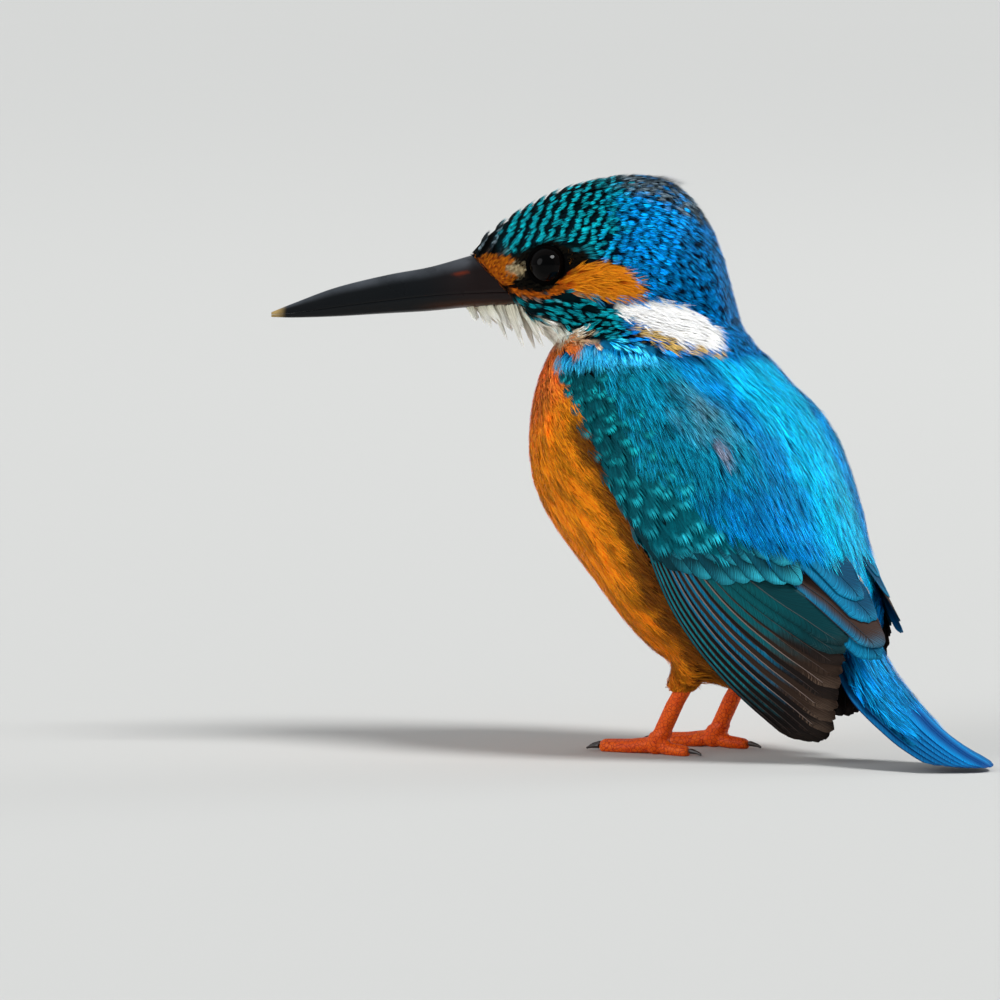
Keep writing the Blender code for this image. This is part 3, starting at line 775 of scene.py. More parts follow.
class Pattern:
    """Collects ribbons, then makes them one mesh."""

    def __init__(self):
        self.points, self.faces, self.corners = [], [], []
        self.along, self.strand = [], []

    def ribbon(self, path, halves, column, strand):
        """A strip along (x, y, rise) places, tapering by the half widths to a point."""
        first, last = len(self.points), len(path) - 1
        for i, (x, y, rise) in enumerate(path):
            before, after = path[max(i - 1, 0)], path[min(i + 1, last)]
            dx, dy = after[0] - before[0], after[1] - before[1]
            size = math.hypot(dx, dy)
            across = (dy / size, -dx / size)
            for way in ((-1, 1) if i < last else (0,)):
                out = way * halves[i]
                self.points.append((x + out * across[0], y + out * across[1], rise))
                self.corners.append((column[0] + (way + 1) / 2 * column[1], i / last))
                self.along.append(y)
                self.strand.append(strand)
        for i in range(last - 1):
            a = first + 2 * i
            self.faces.append((a, a + 1, a + 3, a + 2))
        self.faces.append((first + 2 * last - 2, first + 2 * last - 1, first + 2 * last))

    def finish(self, name):
        mesh = bpy.data.meshes.new(name)
        mesh.from_pydata(self.points, [], self.faces)
        smooth(mesh)
        give(mesh, "along", "FLOAT", self.along)
        give(mesh, "strand", "FLOAT", self.strand)
        give(mesh, "rise", "FLOAT", [point[2] for point in self.points])
        corner = [self.corners[i] for face in self.faces for i in face]
        give(mesh, "vane", "FLOAT2", corner, "CORNER")
        shape = bpy.data.objects.new(f"{len(PATTERNS):02d}_{name}", mesh)
        pattern_box.objects.link(shape)
        PATTERNS.append(name)


def lock(name, strands, joints, spread, fan, thin, seed):
    """Loose strands that share a root and fan out a little."""
    rng = np.random.default_rng(seed)
    shape = Pattern()
    order = rng.permutation(strands)
    for k in range(strands):
        place = (k + 0.5) / strands - 0.5
        start, end = place * spread, place * fan + rng.normal(0, 0.07)
        length, bow, level = rng.uniform(0.70, 1.0), rng.normal(0, 0.05), 0.50 + 0.50 * order[k] / strands
        path, halves = [], []
        for i in range(joints + 1):
            t = i / joints
            x = start + (end - start) * t + bow * math.sin(math.pi * t)
            path.append((x, length * t, level * (1 - (1 - t) ** 2.5)))
            halves.append(thin * (0.75 + 0.5 * t * (1 - t)) * (1.0 if i < joints else 0.0))
        shape.ribbon(path, halves, (k / strands + 0.01, 0.9 / strands), rng.random())
    shape.finish(name)


def barbed_scale(name, barbs, thin, seed):
    """A short rounded feather whose barbs part towards its tip."""
    rng = np.random.default_rng(seed)
    shape = Pattern()
    for k in range(barbs):
        c = 2 * (k + 0.5) / barbs - 1
        root = 0.10 + 0.25 * (1 - abs(c)) + rng.uniform(-0.03, 0.03)
        tip = 1.0 - 0.22 * c * c + rng.uniform(-0.06, 0.03)
        out = 0.46 * c + rng.normal(0, 0.02)
        path = [(0.10 * c, root - 0.10, 0.15), (0.75 * out, (root + tip) / 2, 0.7),
                (out, tip, 0.95 - 0.2 * c * c)]
        shape.ribbon(path, (thin, thin * 1.1, 0), (k / barbs + 0.01, 0.9 / barbs), rng.random())
    shape.finish(name)


lock("down_a", 10, 2, 0.5, 1.0, 0.060, 1)
lock("down_b", 10, 2, 0.4, 1.2, 0.054, 2)
lock("down_c", 9, 2, 0.6, 0.8, 0.064, 3)
lock("strand_a", 11, 3, 0.5, 1.0, 0.034, 4)
lock("strand_b", 11, 3, 0.6, 1.2, 0.032, 5)
lock("strand_c", 10, 3, 0.4, 0.9, 0.038, 6)
barbed_scale("scale_a", 8, 0.062, 7)
barbed_scale("scale_b", 7, 0.070, 8)
barbed_scale("covert", 15, 0.045, 9)
lock("point", 9, 3, 0.75, 0.06, 0.10, 10)
DOWN, STRANDS, SCALES, COVERT, POINT = (0, 3), (3, 6), (6, 8), (8, 9), (9, 10)
print("patterns:", PATTERNS)

# %% [markdown]
# ## Nodes in few words
# Node trees grow long when every node takes four lines. These helpers make a node, set it and link it
# in one line, and run a finished tree on an object with its inputs set by identifier.

# %% Node helpers
def add(tree, kind, settings=None, **values):
    """A node with its settings and its inputs: values or sockets, by name, or as i0, i1 by number."""
    node = tree.nodes.new(kind)
    for key, value in (settings or {}).items():
        setattr(node, key, value)
    for key, value in values.items():
        numbered = key[0] == "i" and key[1:].isdigit()
        socket = node.inputs[int(key[1:]) if numbered else key]
        if isinstance(value, bpy.types.NodeSocket):
            tree.links.new(value, socket)
        else:
            socket.default_value = value
    return node


def named(tree, name, kind="FLOAT"):
    """The socket of an attribute that the points or corners carry."""
    node = tree.nodes.new("GeometryNodeInputNamedAttribute")
    node.data_type = kind
    node.inputs["Name"].default_value = name
    return node.outputs["Attribute"]


def tree_with(name, sockets):
    """A Geometry Nodes tree with named inputs, its input node and its output node."""
    tree = bpy.data.node_groups.new(name, "GeometryNodeTree")
    tree.interface.new_socket(name="Geometry", in_out="INPUT", socket_type="NodeSocketGeometry")
    for label, kind in sockets:
        tree.interface.new_socket(name=label, in_out="INPUT", socket_type="NodeSocket" + kind)
    tree.interface.new_socket(name="Geometry", in_out="OUTPUT", socket_type="NodeSocketGeometry")
    return tree, tree.nodes.new("NodeGroupInput"), tree.nodes.new("NodeGroupOutput")


def run_tree(shape, tree, values):
    """Adds the tree as a modifier, sets its inputs by identifier, and applies it."""
    modifier = shape.modifiers.new(tree.name, "NODES")
    modifier.node_group = tree
    for item in tree.interface.items_tree:
        if item.item_type == "SOCKET" and item.in_out == "INPUT" and item.name in values:
            modifier[item.identifier] = values[item.name]
    return fixed(shape)


print("node helpers: add, named, tree_with, run_tree")

# %% [markdown]
# ## Roots
# Feathers don't grow in a grid, nor quite at random: each keeps its distance from the next. Poisson
# scattering does just that, so one small tree makes the roots of every scattered coat.

# %% The scatter tree: evenly spaced roots on a surface
MOST_ROOTS = 8.0e6  # for each square metre, before those too close together are left out
scatter_tree, scatter_in, scatter_out = tree_with(
    "scatter_roots", [("Spacing", "Float"), ("Seed", "Int"), ("Density", "Float")])
spots = add(scatter_tree, "GeometryNodeDistributePointsOnFaces", {"distribute_method": "POISSON"},
            Mesh=scatter_in.outputs["Geometry"], Seed=scatter_in.outputs["Seed"], **{
                "Distance Min": scatter_in.outputs["Spacing"],
                "Density Max": scatter_in.outputs["Density"]})
dots = add(scatter_tree, "GeometryNodePointsToVertices", Points=spots.outputs["Points"])
scatter_tree.links.new(dots.outputs["Mesh"], scatter_out.inputs["Geometry"])


def scatter(ground, spacing, seed):
    """Root places in the bird's millimetres, about one spacing apart."""
    shape = link("roots", ground.data.copy())
    run_tree(shape, scatter_tree, {"Spacing": spacing * MM, "Seed": seed, "Density": MOST_ROOTS})
    points = to_bird(mesh_points(shape.data))
    drop(shape)
    return points


print("scatter tree:", len(scatter_tree.nodes), "nodes")

# %% [markdown]
# ## A coat from points
# Geometry Nodes put a pattern on every root. The tree turns it so that its length follows the lie
# and its back faces out, scales it, makes it real, and drapes it on the surface below: each point
# goes to the nearest place of the ground, plus its own height. So a long strand bends round the body
# instead of cutting through it. Last, it writes the coat's OFBake map and its material.

# %% The plumage tree: a pattern on every root, draped on the ground
PATCH = 0.003  # the size of a feather's patch on the map
coat_tree, coat_in, coat_out = tree_with("plumage", [
    ("Patterns", "Collection"), ("Ground", "Object"), ("Patch", "Float"), ("Finish", "Material")])
tree = coat_tree


def vectors(operation, first, second=None, **scale):
    """One vector operation of the plumage tree."""
    inputs = {"i0": first} if second is None else {"i0": first, "i1": second}
    settings = {"operation": operation}
    return add(coat_tree, "ShaderNodeVectorMath", settings, **inputs, **scale).outputs["Vector"]


def carried(name):
    """A vector that the roots or the pattern carry."""
    return named(coat_tree, name, "FLOAT_VECTOR")


shelf = add(tree, "GeometryNodeCollectionInfo", Collection=coat_in.outputs["Patterns"], **{
    "Separate Children": True, "Reset Children": True})
aimed = add(tree, "FunctionNodeAxesToRotation", {"primary_axis": "Z", "secondary_axis": "Y"},
            i0=carried("out"), i1=carried("lie"))
planted = add(tree, "GeometryNodeInstanceOnPoints", Points=coat_in.outputs["Geometry"],
              Instance=shelf.outputs["Instances"], Rotation=aimed.outputs["Rotation"], Scale=carried("size"),
              **{"Pick Instance": True, "Instance Index": named(tree, "pattern", "INT")})
real = add(tree, "GeometryNodeRealizeInstances", Geometry=planted.outputs["Instances"])
ground_info = add(tree, "GeometryNodeObjectInfo", Object=coat_in.outputs["Ground"])
here = add(tree, "GeometryNodeInputPosition").outputs["Position"]
nearest, facing = (add(tree, "GeometryNodeSampleNearestSurface", {"data_type": "FLOAT_VECTOR"},
                       Mesh=ground_info.outputs["Geometry"], Value=wanted).outputs["Value"]
                   for wanted in (here, carried("facing")))
height = add(tree, "ShaderNodeMath", {"operation": "MULTIPLY_ADD"}, i0=named(tree, "rise"),
             i1=named(tree, "tall"), i2=named(tree, "lift"))
draped = vectors("ADD", nearest, vectors("SCALE", facing, Scale=height.outputs["Value"]))
drawn = vectors("SCALE", vectors("SUBTRACT", draped, here), Scale=named(tree, "drape"))
laid = add(tree, "GeometryNodeSetPosition", Geometry=real.outputs["Geometry"], Offset=drawn)
middle = vectors("SUBTRACT", carried("vane"), (0.5, 0.5, 0.0))
mapped = vectors("ADD", vectors("SCALE", middle, Scale=coat_in.outputs["Patch"]), carried("chart"))
stored = add(tree, "GeometryNodeStoreNamedAttribute", {"data_type": "FLOAT2", "domain": "CORNER"},
             Geometry=laid.outputs["Geometry"], Name="OFBake", Value=mapped)
dressed = add(tree, "GeometryNodeSetMaterial", Geometry=stored.outputs["Geometry"],
              Material=coat_in.outputs["Finish"])
tree.links.new(dressed.outputs["Geometry"], coat_out.inputs["Geometry"])
for ground in (skin, under_layer):
    give(ground.data, "facing", "FLOAT_VECTOR", mesh_normals(ground.data))
print("plumage tree:", len(coat_tree.nodes), "nodes")

# %% [markdown]
# ## Feather finishes
# Blue in a kingfisher is no pigment: each barb scatters light, so neighbouring barbs shine a little
# differently. The shared group mixes the colour at the root and at the tip of a feather, then varies
# every barb by its own number. Gloss is set on each shader.

# %% Shader helpers
def shader_group(name, inputs, outputs):
    """A shader group with named sockets, its input sockets and its output sockets."""
    tree = bpy.data.node_groups.new(name, "ShaderNodeTree")
    for label, kind, value in inputs:
        socket = tree.interface.new_socket(name=label, in_out="INPUT", socket_type="NodeSocket" + kind)
        socket.default_value = value
    for label, kind in outputs:
        tree.interface.new_socket(name=label, in_out="OUTPUT", socket_type="NodeSocket" + kind)
    return tree, tree.nodes.new("NodeGroupInput").outputs, tree.nodes.new("NodeGroupOutput").inputs


def maths(tree, operation, *values):
    inputs = {f"i{i}": value for i, value in enumerate(values)}
    return add(tree, "ShaderNodeMath", {"operation": operation}, **inputs).outputs[0]


def times(tree, first, second):
    return maths(tree, "MULTIPLY", first, second)


def times_plus(tree, first, second, third):
    return maths(tree, "MULTIPLY_ADD", first, second, third)


def ramp(tree, value, low, high):
    """0 where the value is low, 1 where it is high, with a smooth rise."""
    ends = {"From Min": low, "From Max": high}
    settings = {"interpolation_type": "SMOOTHSTEP"}
    return add(tree, "ShaderNodeMapRange", settings, Value=value, **ends).outputs["Result"]


def mix_colour(tree, share, first, second, blend="MIX"):
    settings = {"data_type": "RGBA", "blend_type": blend}
    return add(tree, "ShaderNodeMix", settings, i0=share, i6=first, i7=second).outputs[2]


def attribute(tree, name, output="Fac"):
    node = tree.nodes.new("ShaderNodeAttribute")
    node.attribute_name = name
    return node.outputs[output]


def noise(tree, scale, detail):
    """Cloudy unevenness from the piece's own coordinates."""
    place = tree.nodes.new("ShaderNodeTexCoord").outputs["Object"]
    return add(tree, "ShaderNodeTexNoise", Vector=place, Scale=scale, Detail=detail).outputs["Fac"]


def split_in_two(tree, vector):
    """The first two numbers of a vector."""
    return add(tree, "ShaderNodeSeparateXYZ", Vector=vector).outputs[:2]


def chance_at(tree, first, second):
    """A node that gives a chance number and colour for each pair of values."""
    pair = add(tree, "ShaderNodeCombineXYZ", X=first, Y=second)
    return add(tree, "ShaderNodeTexWhiteNoise", {"noise_dimensions": "2D"}, Vector=pair.outputs[0]).outputs


def shade(tree, colour, value):
    return add(tree, "ShaderNodeHueSaturation", Value=value, Color=colour).outputs["Color"]


def colour_with(tree, shader, colour):
    tree.links.new(colour, shader.inputs["Base Color"])


def roughen(tree, shader, value, least, most):
    """Gloss that goes from least to most roughness as a value goes from 0 to 1."""
    node = add(tree, "ShaderNodeMapRange", Value=value, **{"To Min": least, "To Max": most})
    tree.links.new(node.outputs["Result"], shader.inputs["Roughness"])


def emboss(tree, shader, height, strength, depth):
    node = add(tree, "ShaderNodeBump", Height=height, Strength=strength, Distance=depth)
    tree.links.new(node.outputs["Normal"], shader.inputs["Normal"])


print("shader helpers: maths, ramp, mix_colour, noise, shade, roughen, emboss")

# %% The shared plumage group
tree, gin, gout = shader_group("plumage_colour", [
    ("Root", "Color", (0, 0, 0, 1)), ("Tip", "Color", (1, 1, 1, 1)), ("Along", "Float", 0.5),
    ("Strand", "Float", 0.5), ("Seed", "Float", 0.5), ("Start", "Float", 0.1), ("End", "Float", 0.7),
    ("Dark Tip", "Float", 0.0), ("Contrast", "Float", 0.5), ("Hue Play", "Float", 0.02),
    ("Ragged", "Float", 0.1), ("Lock Play", "Float", 0.4)],
    [("Colour", "Color"), ("Barb", "Float")])
chance = chance_at(tree, times(tree, gin["Strand"], 37.0),
                   times(tree, gin["Seed"], 91.0))
centred = maths(tree, "SUBTRACT", chance["Value"], 0.5)
along_barb = times_plus(tree, centred, gin["Ragged"], gin["Along"])
tipward = ramp(tree, along_barb, gin["Start"], gin["End"])
ending = times(tree, ramp(tree, gin["Along"], 0.86, 0.94), gin["Dark Tip"])
share = times(tree, tipward, maths(tree, "SUBTRACT", 1.0, ending))
plain = mix_colour(tree, share, gin["Root"], gin["Tip"])
by_lock = maths(tree, "SUBTRACT", gin["Seed"], 0.5)
play = times_plus(tree, by_lock, gin["Lock Play"], centred)
bright = times_plus(tree, play, gin["Contrast"], 1.0)
greens = add(tree, "ShaderNodeSeparateColor", Color=chance["Color"]).outputs[1]
hue = times_plus(tree, maths(tree, "SUBTRACT", greens, 0.5), gin["Hue Play"], 0.5)
varied = add(tree, "ShaderNodeHueSaturation", Hue=hue, Value=bright, Color=plain)
tree.links.new(varied.outputs["Color"], gout["Colour"])
tree.links.new(chance["Value"], gout["Barb"])
plumage_group = tree
print("plumage group:", len(plumage_group.nodes), "nodes")

# %% Finishes of the coats
WARM_GLINT = (1.0, 0.8, 0.5, 1)
BLUE_GLINT = (0.15, 0.65, 1.0, 1)  # a structural blue keeps its colour in its highlights
BLUE_GLOSS, SCALE_GLOSS = (0.38, 0.60), (0.36, 0.60)  # least and most roughness


def plumage_finish(name, start, end, contrast, hue_play, rough, specular, tint, dark_tip=0.0, ragged=0.1):
    """Barbs that go from the root's colour to the tip's between start and end of their length."""
    material, tree, shader = finish(name, Specular_IOR_Level=specular, Specular_Tint=tint)
    colour = add(tree, "ShaderNodeGroup", {"node_tree": plumage_group},
                 Root=attribute(tree, "tint_root", "Color"), Tip=attribute(tree, "tint_tip", "Color"),
                 Along=attribute(tree, "along"), Strand=attribute(tree, "strand"),
                 Seed=attribute(tree, "seed"), Start=start, End=end, Contrast=contrast, Ragged=ragged,
                 **{"Hue Play": hue_play, "Dark Tip": dark_tip})
    colour_with(tree, shader, colour.outputs["Colour"])
    roughen(tree, shader, colour.outputs["Barb"], *rough)
    return material


silk_finish = plumage_finish("orange_and_white_down", 0.05, 0.75, 0.50, 0.015, (0.55, 0.75), 0.10, WARM_GLINT)
breast_finish = plumage_finish("orange_down", 0.05, 0.75, 1.0, 0.03, (0.50, 0.75), 0.12, WARM_GLINT)
blue_finish = plumage_finish("blue_strands", 0.15, 0.85, 1.25, 0.035, BLUE_GLOSS, 0.25, BLUE_GLINT)
nape_finish = plumage_finish("streaked_nape", 0.35, 0.80, 1.35, 0.035, BLUE_GLOSS, 0.15, BLUE_GLINT)
crown_finish = plumage_finish("barred_crown", 0.52, 0.64, 1.60, 0.04, SCALE_GLOSS, 0.12, BLUE_GLINT,
                              0.9, 0.22)
cheek_finish = plumage_finish("streaked_moustache", 0.40, 0.56, 1.70, 0.04, SCALE_GLOSS, 0.12, BLUE_GLINT,
                              0.7, 0.25)

skin_finish, tree, shader = finish("feathered_skin", Roughness=0.8, Specular_IOR_Level=0.05)
fibre = noise(tree, 900.0, 4.0)
colour_with(tree, shader, mix_colour(tree, 0.7, attribute(tree, "marking", "Color"), fibre, "MULTIPLY"))
emboss(tree, shader, fibre, 0.6, 0.0003)
dress(skin, skin_finish)
print("finishes:", [m.name for m in bpy.data.materials if m.users])

# %% [markdown]
# ## Laying one coat
# A coat starts as bare points that carry everything the tree must know of each feather: which way
# the skin faces, which way the feather lies, its size, pattern, colours and chance number. A little
# sway and size at random keeps neighbours from being twins.

# %% Laying one coat
def facing_at(ground, points):
    """The outward direction of a ground at its point nearest to each root."""
    tree = surface_tree(ground)
    hits = [tree.find_nearest(Vector(p)) for p in to_world(points)]
    corners = [ground.data.polygons[hit[2]].vertices[0] for hit in hits]
    return mesh_normals(ground.data)[corners]


def coat(name, points, look, patterns, ground, material, seed, sizes=(1, 1, 1), lift=0.0, drape=1.0,
         sway=7.0):
    """Plants the patterns on the roots and makes them one finished piece."""
    rng = np.random.default_rng(seed)
    count = len(points)
    out = look["out"] if "out" in look else facing_at(ground, points)
    lie = look["lie"] - out * np.sum(look["lie"] * out, axis=1)[:, None]
    lie /= np.linalg.norm(lie, axis=1)[:, None]
    turned = np.radians(rng.normal(0, sway, count))[:, None]
    lie = lie * np.cos(turned) + np.cross(out, lie) * np.sin(turned)
    size = np.stack([look["width"], look["length"], look["height"]], -1) * sizes
    size *= rng.uniform(0.86, 1.14, (count, 3))
    mesh = bpy.data.meshes.new(name)
    mesh.from_pydata(to_world(points).tolist(), [], [])
    give(mesh, "out", "FLOAT_VECTOR", out)
    give(mesh, "lie", "FLOAT_VECTOR", lie)
    give(mesh, "size", "FLOAT_VECTOR", size * MM)
    give(mesh, "tall", "FLOAT", size[:, 2] * MM)
    give(mesh, "lift", "FLOAT", np.broadcast_to(lift, count) * MM)
    give(mesh, "drape", "FLOAT", np.broadcast_to(drape, count))
    give(mesh, "pattern", "INT", rng.integers(*patterns, count))
    chart = chart_place(points, look["on_head"])
    give(mesh, "chart", "FLOAT_VECTOR", np.c_[chart, np.zeros(count)])
    for label in ("root", "tip"):
        give(mesh, "tint_" + label, "FLOAT_COLOR", np.c_[look[label], np.ones(count)])
    give(mesh, "seed", "FLOAT", rng.random(count))
    shape = link(name, mesh)
    run_tree(shape, coat_tree, {"Patterns": pattern_box, "Ground": ground, "Patch": PATCH,
                                "Finish": material})
    shape.data.uv_layers["OFBake"].active = True
    print(f"{name}: {count} feathers, {triangle_count(shape)} triangles")


print("widest patch on the map:", PATCH)

# %% [markdown]
# ## Breast, belly and flanks
# The underparts are loose, silky and orange. Locks are scattered over the skin below the wings and
# lie down the body; where they meet the wing's edge they grow longer and sweep over it, coloured
# dark there as painted shade of the crease under the wing.

# %% Underparts
body_roots = scatter(skin, 0.51, 11)
along, degrees, way = body_place(body_roots)
edge = between(along, WING_EDGE)
below = (degrees > edge - 3) & (body_roots[:, 2] < NECKLINE)
shank = (np.abs(np.abs(body_roots[:, 1]) - 8) < 4) & (body_roots[:, 2] < 13)
upper_half = along < 30
SHANK_SHORT, SHANK_LIE = 0.34, (-0.5, 0.0, -0.85)
for name, keep, seed in (("breast_feathers", below & upper_half, 21),
                         ("belly_feathers", below & ~upper_half, 22)):
    roots = body_roots[keep]
    look = look_of(roots)
    short = np.where(shank[keep], SHANK_SHORT, 1.0)
    look["length"], look["height"] = look["length"] * short, look["height"] * short
    look["lie"] = np.where(shank[keep][:, None], SHANK_LIE, look["lie"])
    coat(name, roots, look, DOWN, skin, breast_finish, seed)

# %% [markdown]
# ## Mantle, back and rump
# The upper body is covered by longer strands that part into bright tips over a dark base. They lie
# on the wing as well as on the body, so the ground here is the surface that includes wing and tail.

# %% Mantle and back
upper_roots = scatter(under_layer, 0.66, 31)
along, degrees, way = body_place(upper_roots)
shoulder = (along < shoulder_line(degrees)) & (degrees > 32) & (degrees < between(along, WING_EDGE))
cover = (degrees < between(along + 4.5, SCAPULAR_EDGE) - 1) | shoulder
above = (upper_roots[:, 2] < NECKLINE) & cover & (along < 60)
for name, keep, seed in (("mantle_left", above & (way > 0), 32), ("mantle_right", above & (way < 0), 33)):
    coat(name, upper_roots[keep], look_of(upper_roots[keep]), STRANDS, under_layer, blue_finish, seed,
         lift=0.15, sway=4.5)

# %% [markdown]
# ## Head
# The head gets the smallest feathers. The crown's bars come from its rows: every feather is dark with
# a bright band before its tip, and the rows lie on parallel planes that lean back, so the bands line
# up into arcs. The face is filled by scattered tufts, each as short as its look asks.

# %% Rows and zones of the head
def row_roots(fronts, lean, height, gap, sweep):
    """Roots where leaning planes cut the skin: one row for each place ahead."""
    surface = surface_tree(skin)
    rng = np.random.default_rng(44)
    found = []
    for front in fronts:
        start = head_point(np.array(front), np.array(0.0), np.array(height))
        for turn in np.arange(-sweep, sweep, gap):
            a = math.radians(turn + rng.uniform(-0.2, 0.2) * gap)
            leaning = math.cos(lean) * UP - math.sin(lean) * head_ahead
            ray = math.sin(a) * head_side + math.cos(a) * leaning
            hit = surface.ray_cast(Vector(to_world(start)), Vector(ray))
            if hit[0] is not None:
                found.append(to_bird(hit[0]))
    return np.array(found)


def head_zones(points):
    """Which points are on the head, which of them on the face, and which round the eyes."""
    ahead, side, z = head_place(points)
    on_head = (z > NECKLINE) & (ahead < 28.8)
    eye_gap = np.hypot(ahead - EYE_AHEAD, z - EYE_Z)
    clear = (eye_gap > 3.1) | (np.abs(side) < 6)
    bands = np.max([band(ahead, z, path) for path in FACE_BANDS], 0)
    chin = (z < chin_line(ahead)) & (ahead > 2)
    fringe = (band(ahead, z, NECK_PATCH) > -1.4) & (z < 71)
    mask = band(ahead, z, MASK) > -0.2
    return on_head & clear, ((bands > -0.2) & ((np.abs(side) > 3) | ~mask)) | chin | fringe


def shuffle_tips(look, chosen, shades, seed):
    """Gives the tip of each chosen feather one of a few shades."""
    chance = np.random.default_rng(seed).choice(shades, (len(chosen), 1))
    look["tip"] = np.where(chosen[:, None], look["tip"] * chance, look["tip"])


row_points = row_roots(np.arange(29.2, -3.0, -1.62), math.radians(20), 83.0, 3.6, 118)
print(len(row_points), "roots in rows")

# %% Crown
loose = 0.12 + 0.26 * step(-head_place(row_points)[0], -12, 0)
row_points += np.random.default_rng(40).normal(0, 1, row_points.shape) * loose[:, None]
on_head, face = head_zones(row_points)
keep = on_head & ~face & (row_points[:, 2] > 76)
look = look_of(row_points[keep])
shuffle_tips(look, look["tip"].max(axis=1) < 0.2, (0.3, 1.0, 6.0), 49)
coat("crown_feathers", row_points[keep], look, SCALES, skin, crown_finish, 43, sizes=(1.1, 0.95, 1.0), sway=6)

# %% [markdown]
# ## Nape and crest
# Behind the eyes the bars dissolve into loose blue streaks. Roots are scattered here, thinned so that
# the dark skin shows between, and lifted where the hind crown is ruffled. A few feathers on the very
# top stand free of the skin.

# %% Nape and crest
head_roots = scatter(skin, 0.46, 41)
on_head, face = head_zones(head_roots)
ahead, side, z = head_place(head_roots)
behind = ahead - 0.36 * (z - 84) < 6
crest = step(-ahead, 2, 5) * step(z, 88.5, 91) * step(5 - np.abs(side), 0, 2)
nape = on_head & ~face & behind & (np.random.default_rng(5).random(len(face)) < 0.7)
look = look_of(head_roots[nape])
shuffle_tips(look, (look["tip"].max(axis=1) < 0.25) & (crest[nape] > 0.1), (0.15, 0.8, 2.0), 8)
look["lie"] += (crest[nape] * 0.35)[:, None] * UP
coat("nape_feathers", head_roots[nape], look, STRANDS, skin, nape_finish, 45, sizes=(0.9, 0.9, 1),
     drape=1 - 0.75 * crest[nape], sway=10)
peak = on_head & (np.abs(ahead + 1.5) < 3.0) & (np.abs(side) < 3.4) & (z > 90)
peak &= np.random.default_rng(7).random(len(peak)) < 0.30
look = look_of(head_roots[peak])
look["lie"] = np.tile(-0.04 * UP - head_ahead, (peak.sum(), 1))
look["out"] = np.tile(UP, (peak.sum(), 1))
look["tip"] = look["tip"] * 0.35
coat("crest_feathers", head_roots[peak], look, STRANDS, skin, nape_finish, 50, sizes=(1.0, 1.15, 1),
     drape=0.0)

# %% [markdown]
# ## Moustache and face
# The moustache is scaled like the crown, so it takes the same pattern, but fewer of them. Lores, mask,
# ear, neck patch and chin are short down, and one coat holds them all, since the looks differ already.

# %% Moustache and face
in_moustache = face & on_head & (band(ahead, z, MOUSTACHE) > -0.3) & (np.abs(side) > 4)
in_moustache &= np.max([band(ahead, z, path) for path in (EAR, EYE_LINE)], 0) < 0.2
in_moustache &= band(ahead, z, NECK_PATCH) < -1.2
thin = in_moustache & (np.random.default_rng(6).random(len(face)) < 0.42)
coat("moustache_feathers", head_roots[thin], look_of(head_roots[thin]), SCALES, skin, cheek_finish, 48,
     sizes=(0.95, 1.15, 1.0), sway=11)
face = face & on_head & ~in_moustache
coat("face_feathers", head_roots[face], look_of(head_roots[face]), DOWN, skin, silk_finish, 42, sway=11)

# %% [markdown]
# ## Chin tufts
# Under the lower bill, white feathers hang in pointed tufts between its two branches. They stand free
# of the skin, so they are placed one by one in a small grid and aren't draped.

# %% Chin tufts
rng = np.random.default_rng(46)
ahead, side = (grid.ravel() for grid in np.meshgrid(np.linspace(17.5, 29.0, 10), np.linspace(-2.4, 2.4, 4)))
ahead = ahead + rng.uniform(-0.6, 0.6, len(ahead))
side = side * between(ahead, [(17, 1.5), (21, 1.3), (30, 0.7)]) + rng.uniform(-0.3, 0.3, len(side))
chin_roots = head_point(ahead, side, between(ahead, [(17, 73.2), (21, 74.2), (30, 73.9)]))
look = start_look(len(ahead), "chin")
look["length"] = between(ahead, [(17, 6.6), (21, 8.6), (25, 6.0), (29, 3.0)])
look["length"] = look["length"] * rng.uniform(0.6, 1.12, len(ahead))
look["width"] = look["width"] * rng.uniform(1.0, 1.5, len(ahead))
backward = between(ahead, [(17, 0.62), (22, 0.36), (29, 0.60)])[:, None]
look["lie"] = -backward * head_ahead + 0.10 * side[:, None] * head_side - UP
look["out"] = np.sign(side)[:, None] * head_side * 0.9 + 0.3 * head_ahead - 0.2 * UP
look["out"] /= np.linalg.norm(look["out"], axis=1)[:, None]
look["on_head"] = np.ones(len(ahead), bool)
coat("chin_tufts", chin_roots, look, POINT, skin, silk_finish, 47, sizes=(1.15, 1.0, 0.7), drape=0.0, sway=8)

# %% [markdown]
# ## Wing coverts
# The forewing is shingled with rounded closed feathers, each dark teal with a cyan spot at its tip.
# They sit in staggered rows that open out down the wing. Rows are a rule, so the roots are worked out
# row by row on the carrier and then planted like the rest of the coat.

# %% The covert finish: a spot near the tip of each vane
covert_finish, tree, shader = finish("spotted_coverts", Roughness=0.55, Specular_IOR_Level=0.15,
                                     Specular_Tint=BLUE_GLINT)
across, down = split_in_two(tree, attribute(tree, "vane", "Vector"))
off_centre = maths(tree, "ABSOLUTE", maths(tree, "SUBTRACT", across, 0.5))
slant = times_plus(tree, off_centre, -0.9, down)
grain_place = add(tree, "ShaderNodeCombineXYZ", X=times(tree, across, 3.0),
                  Y=times_plus(tree, attribute(tree, "seed"), 40.0, slant)).outputs[0]
grain = add(tree, "ShaderNodeTexNoise", {"noise_dimensions": "2D"}, Scale=9.0, Detail=3.0,
            Vector=grain_place).outputs["Fac"]
uneven = times_plus(tree, grain, 0.22, -0.11)
reach = maths(tree, "ADD", down, uneven)
spot_down = times(tree, ramp(tree, reach, 0.52, 0.74), ramp(tree, reach, 1.02, 0.84))
halo = times(tree, ramp(tree, maths(tree, "ADD", off_centre, uneven), 0.50, 0.0), 0.85)
streak = times(tree, ramp(tree, off_centre, 0.08, 0.03), 0.5)
spot = times(tree, spot_down, maths(tree, "ADD", halo, streak))
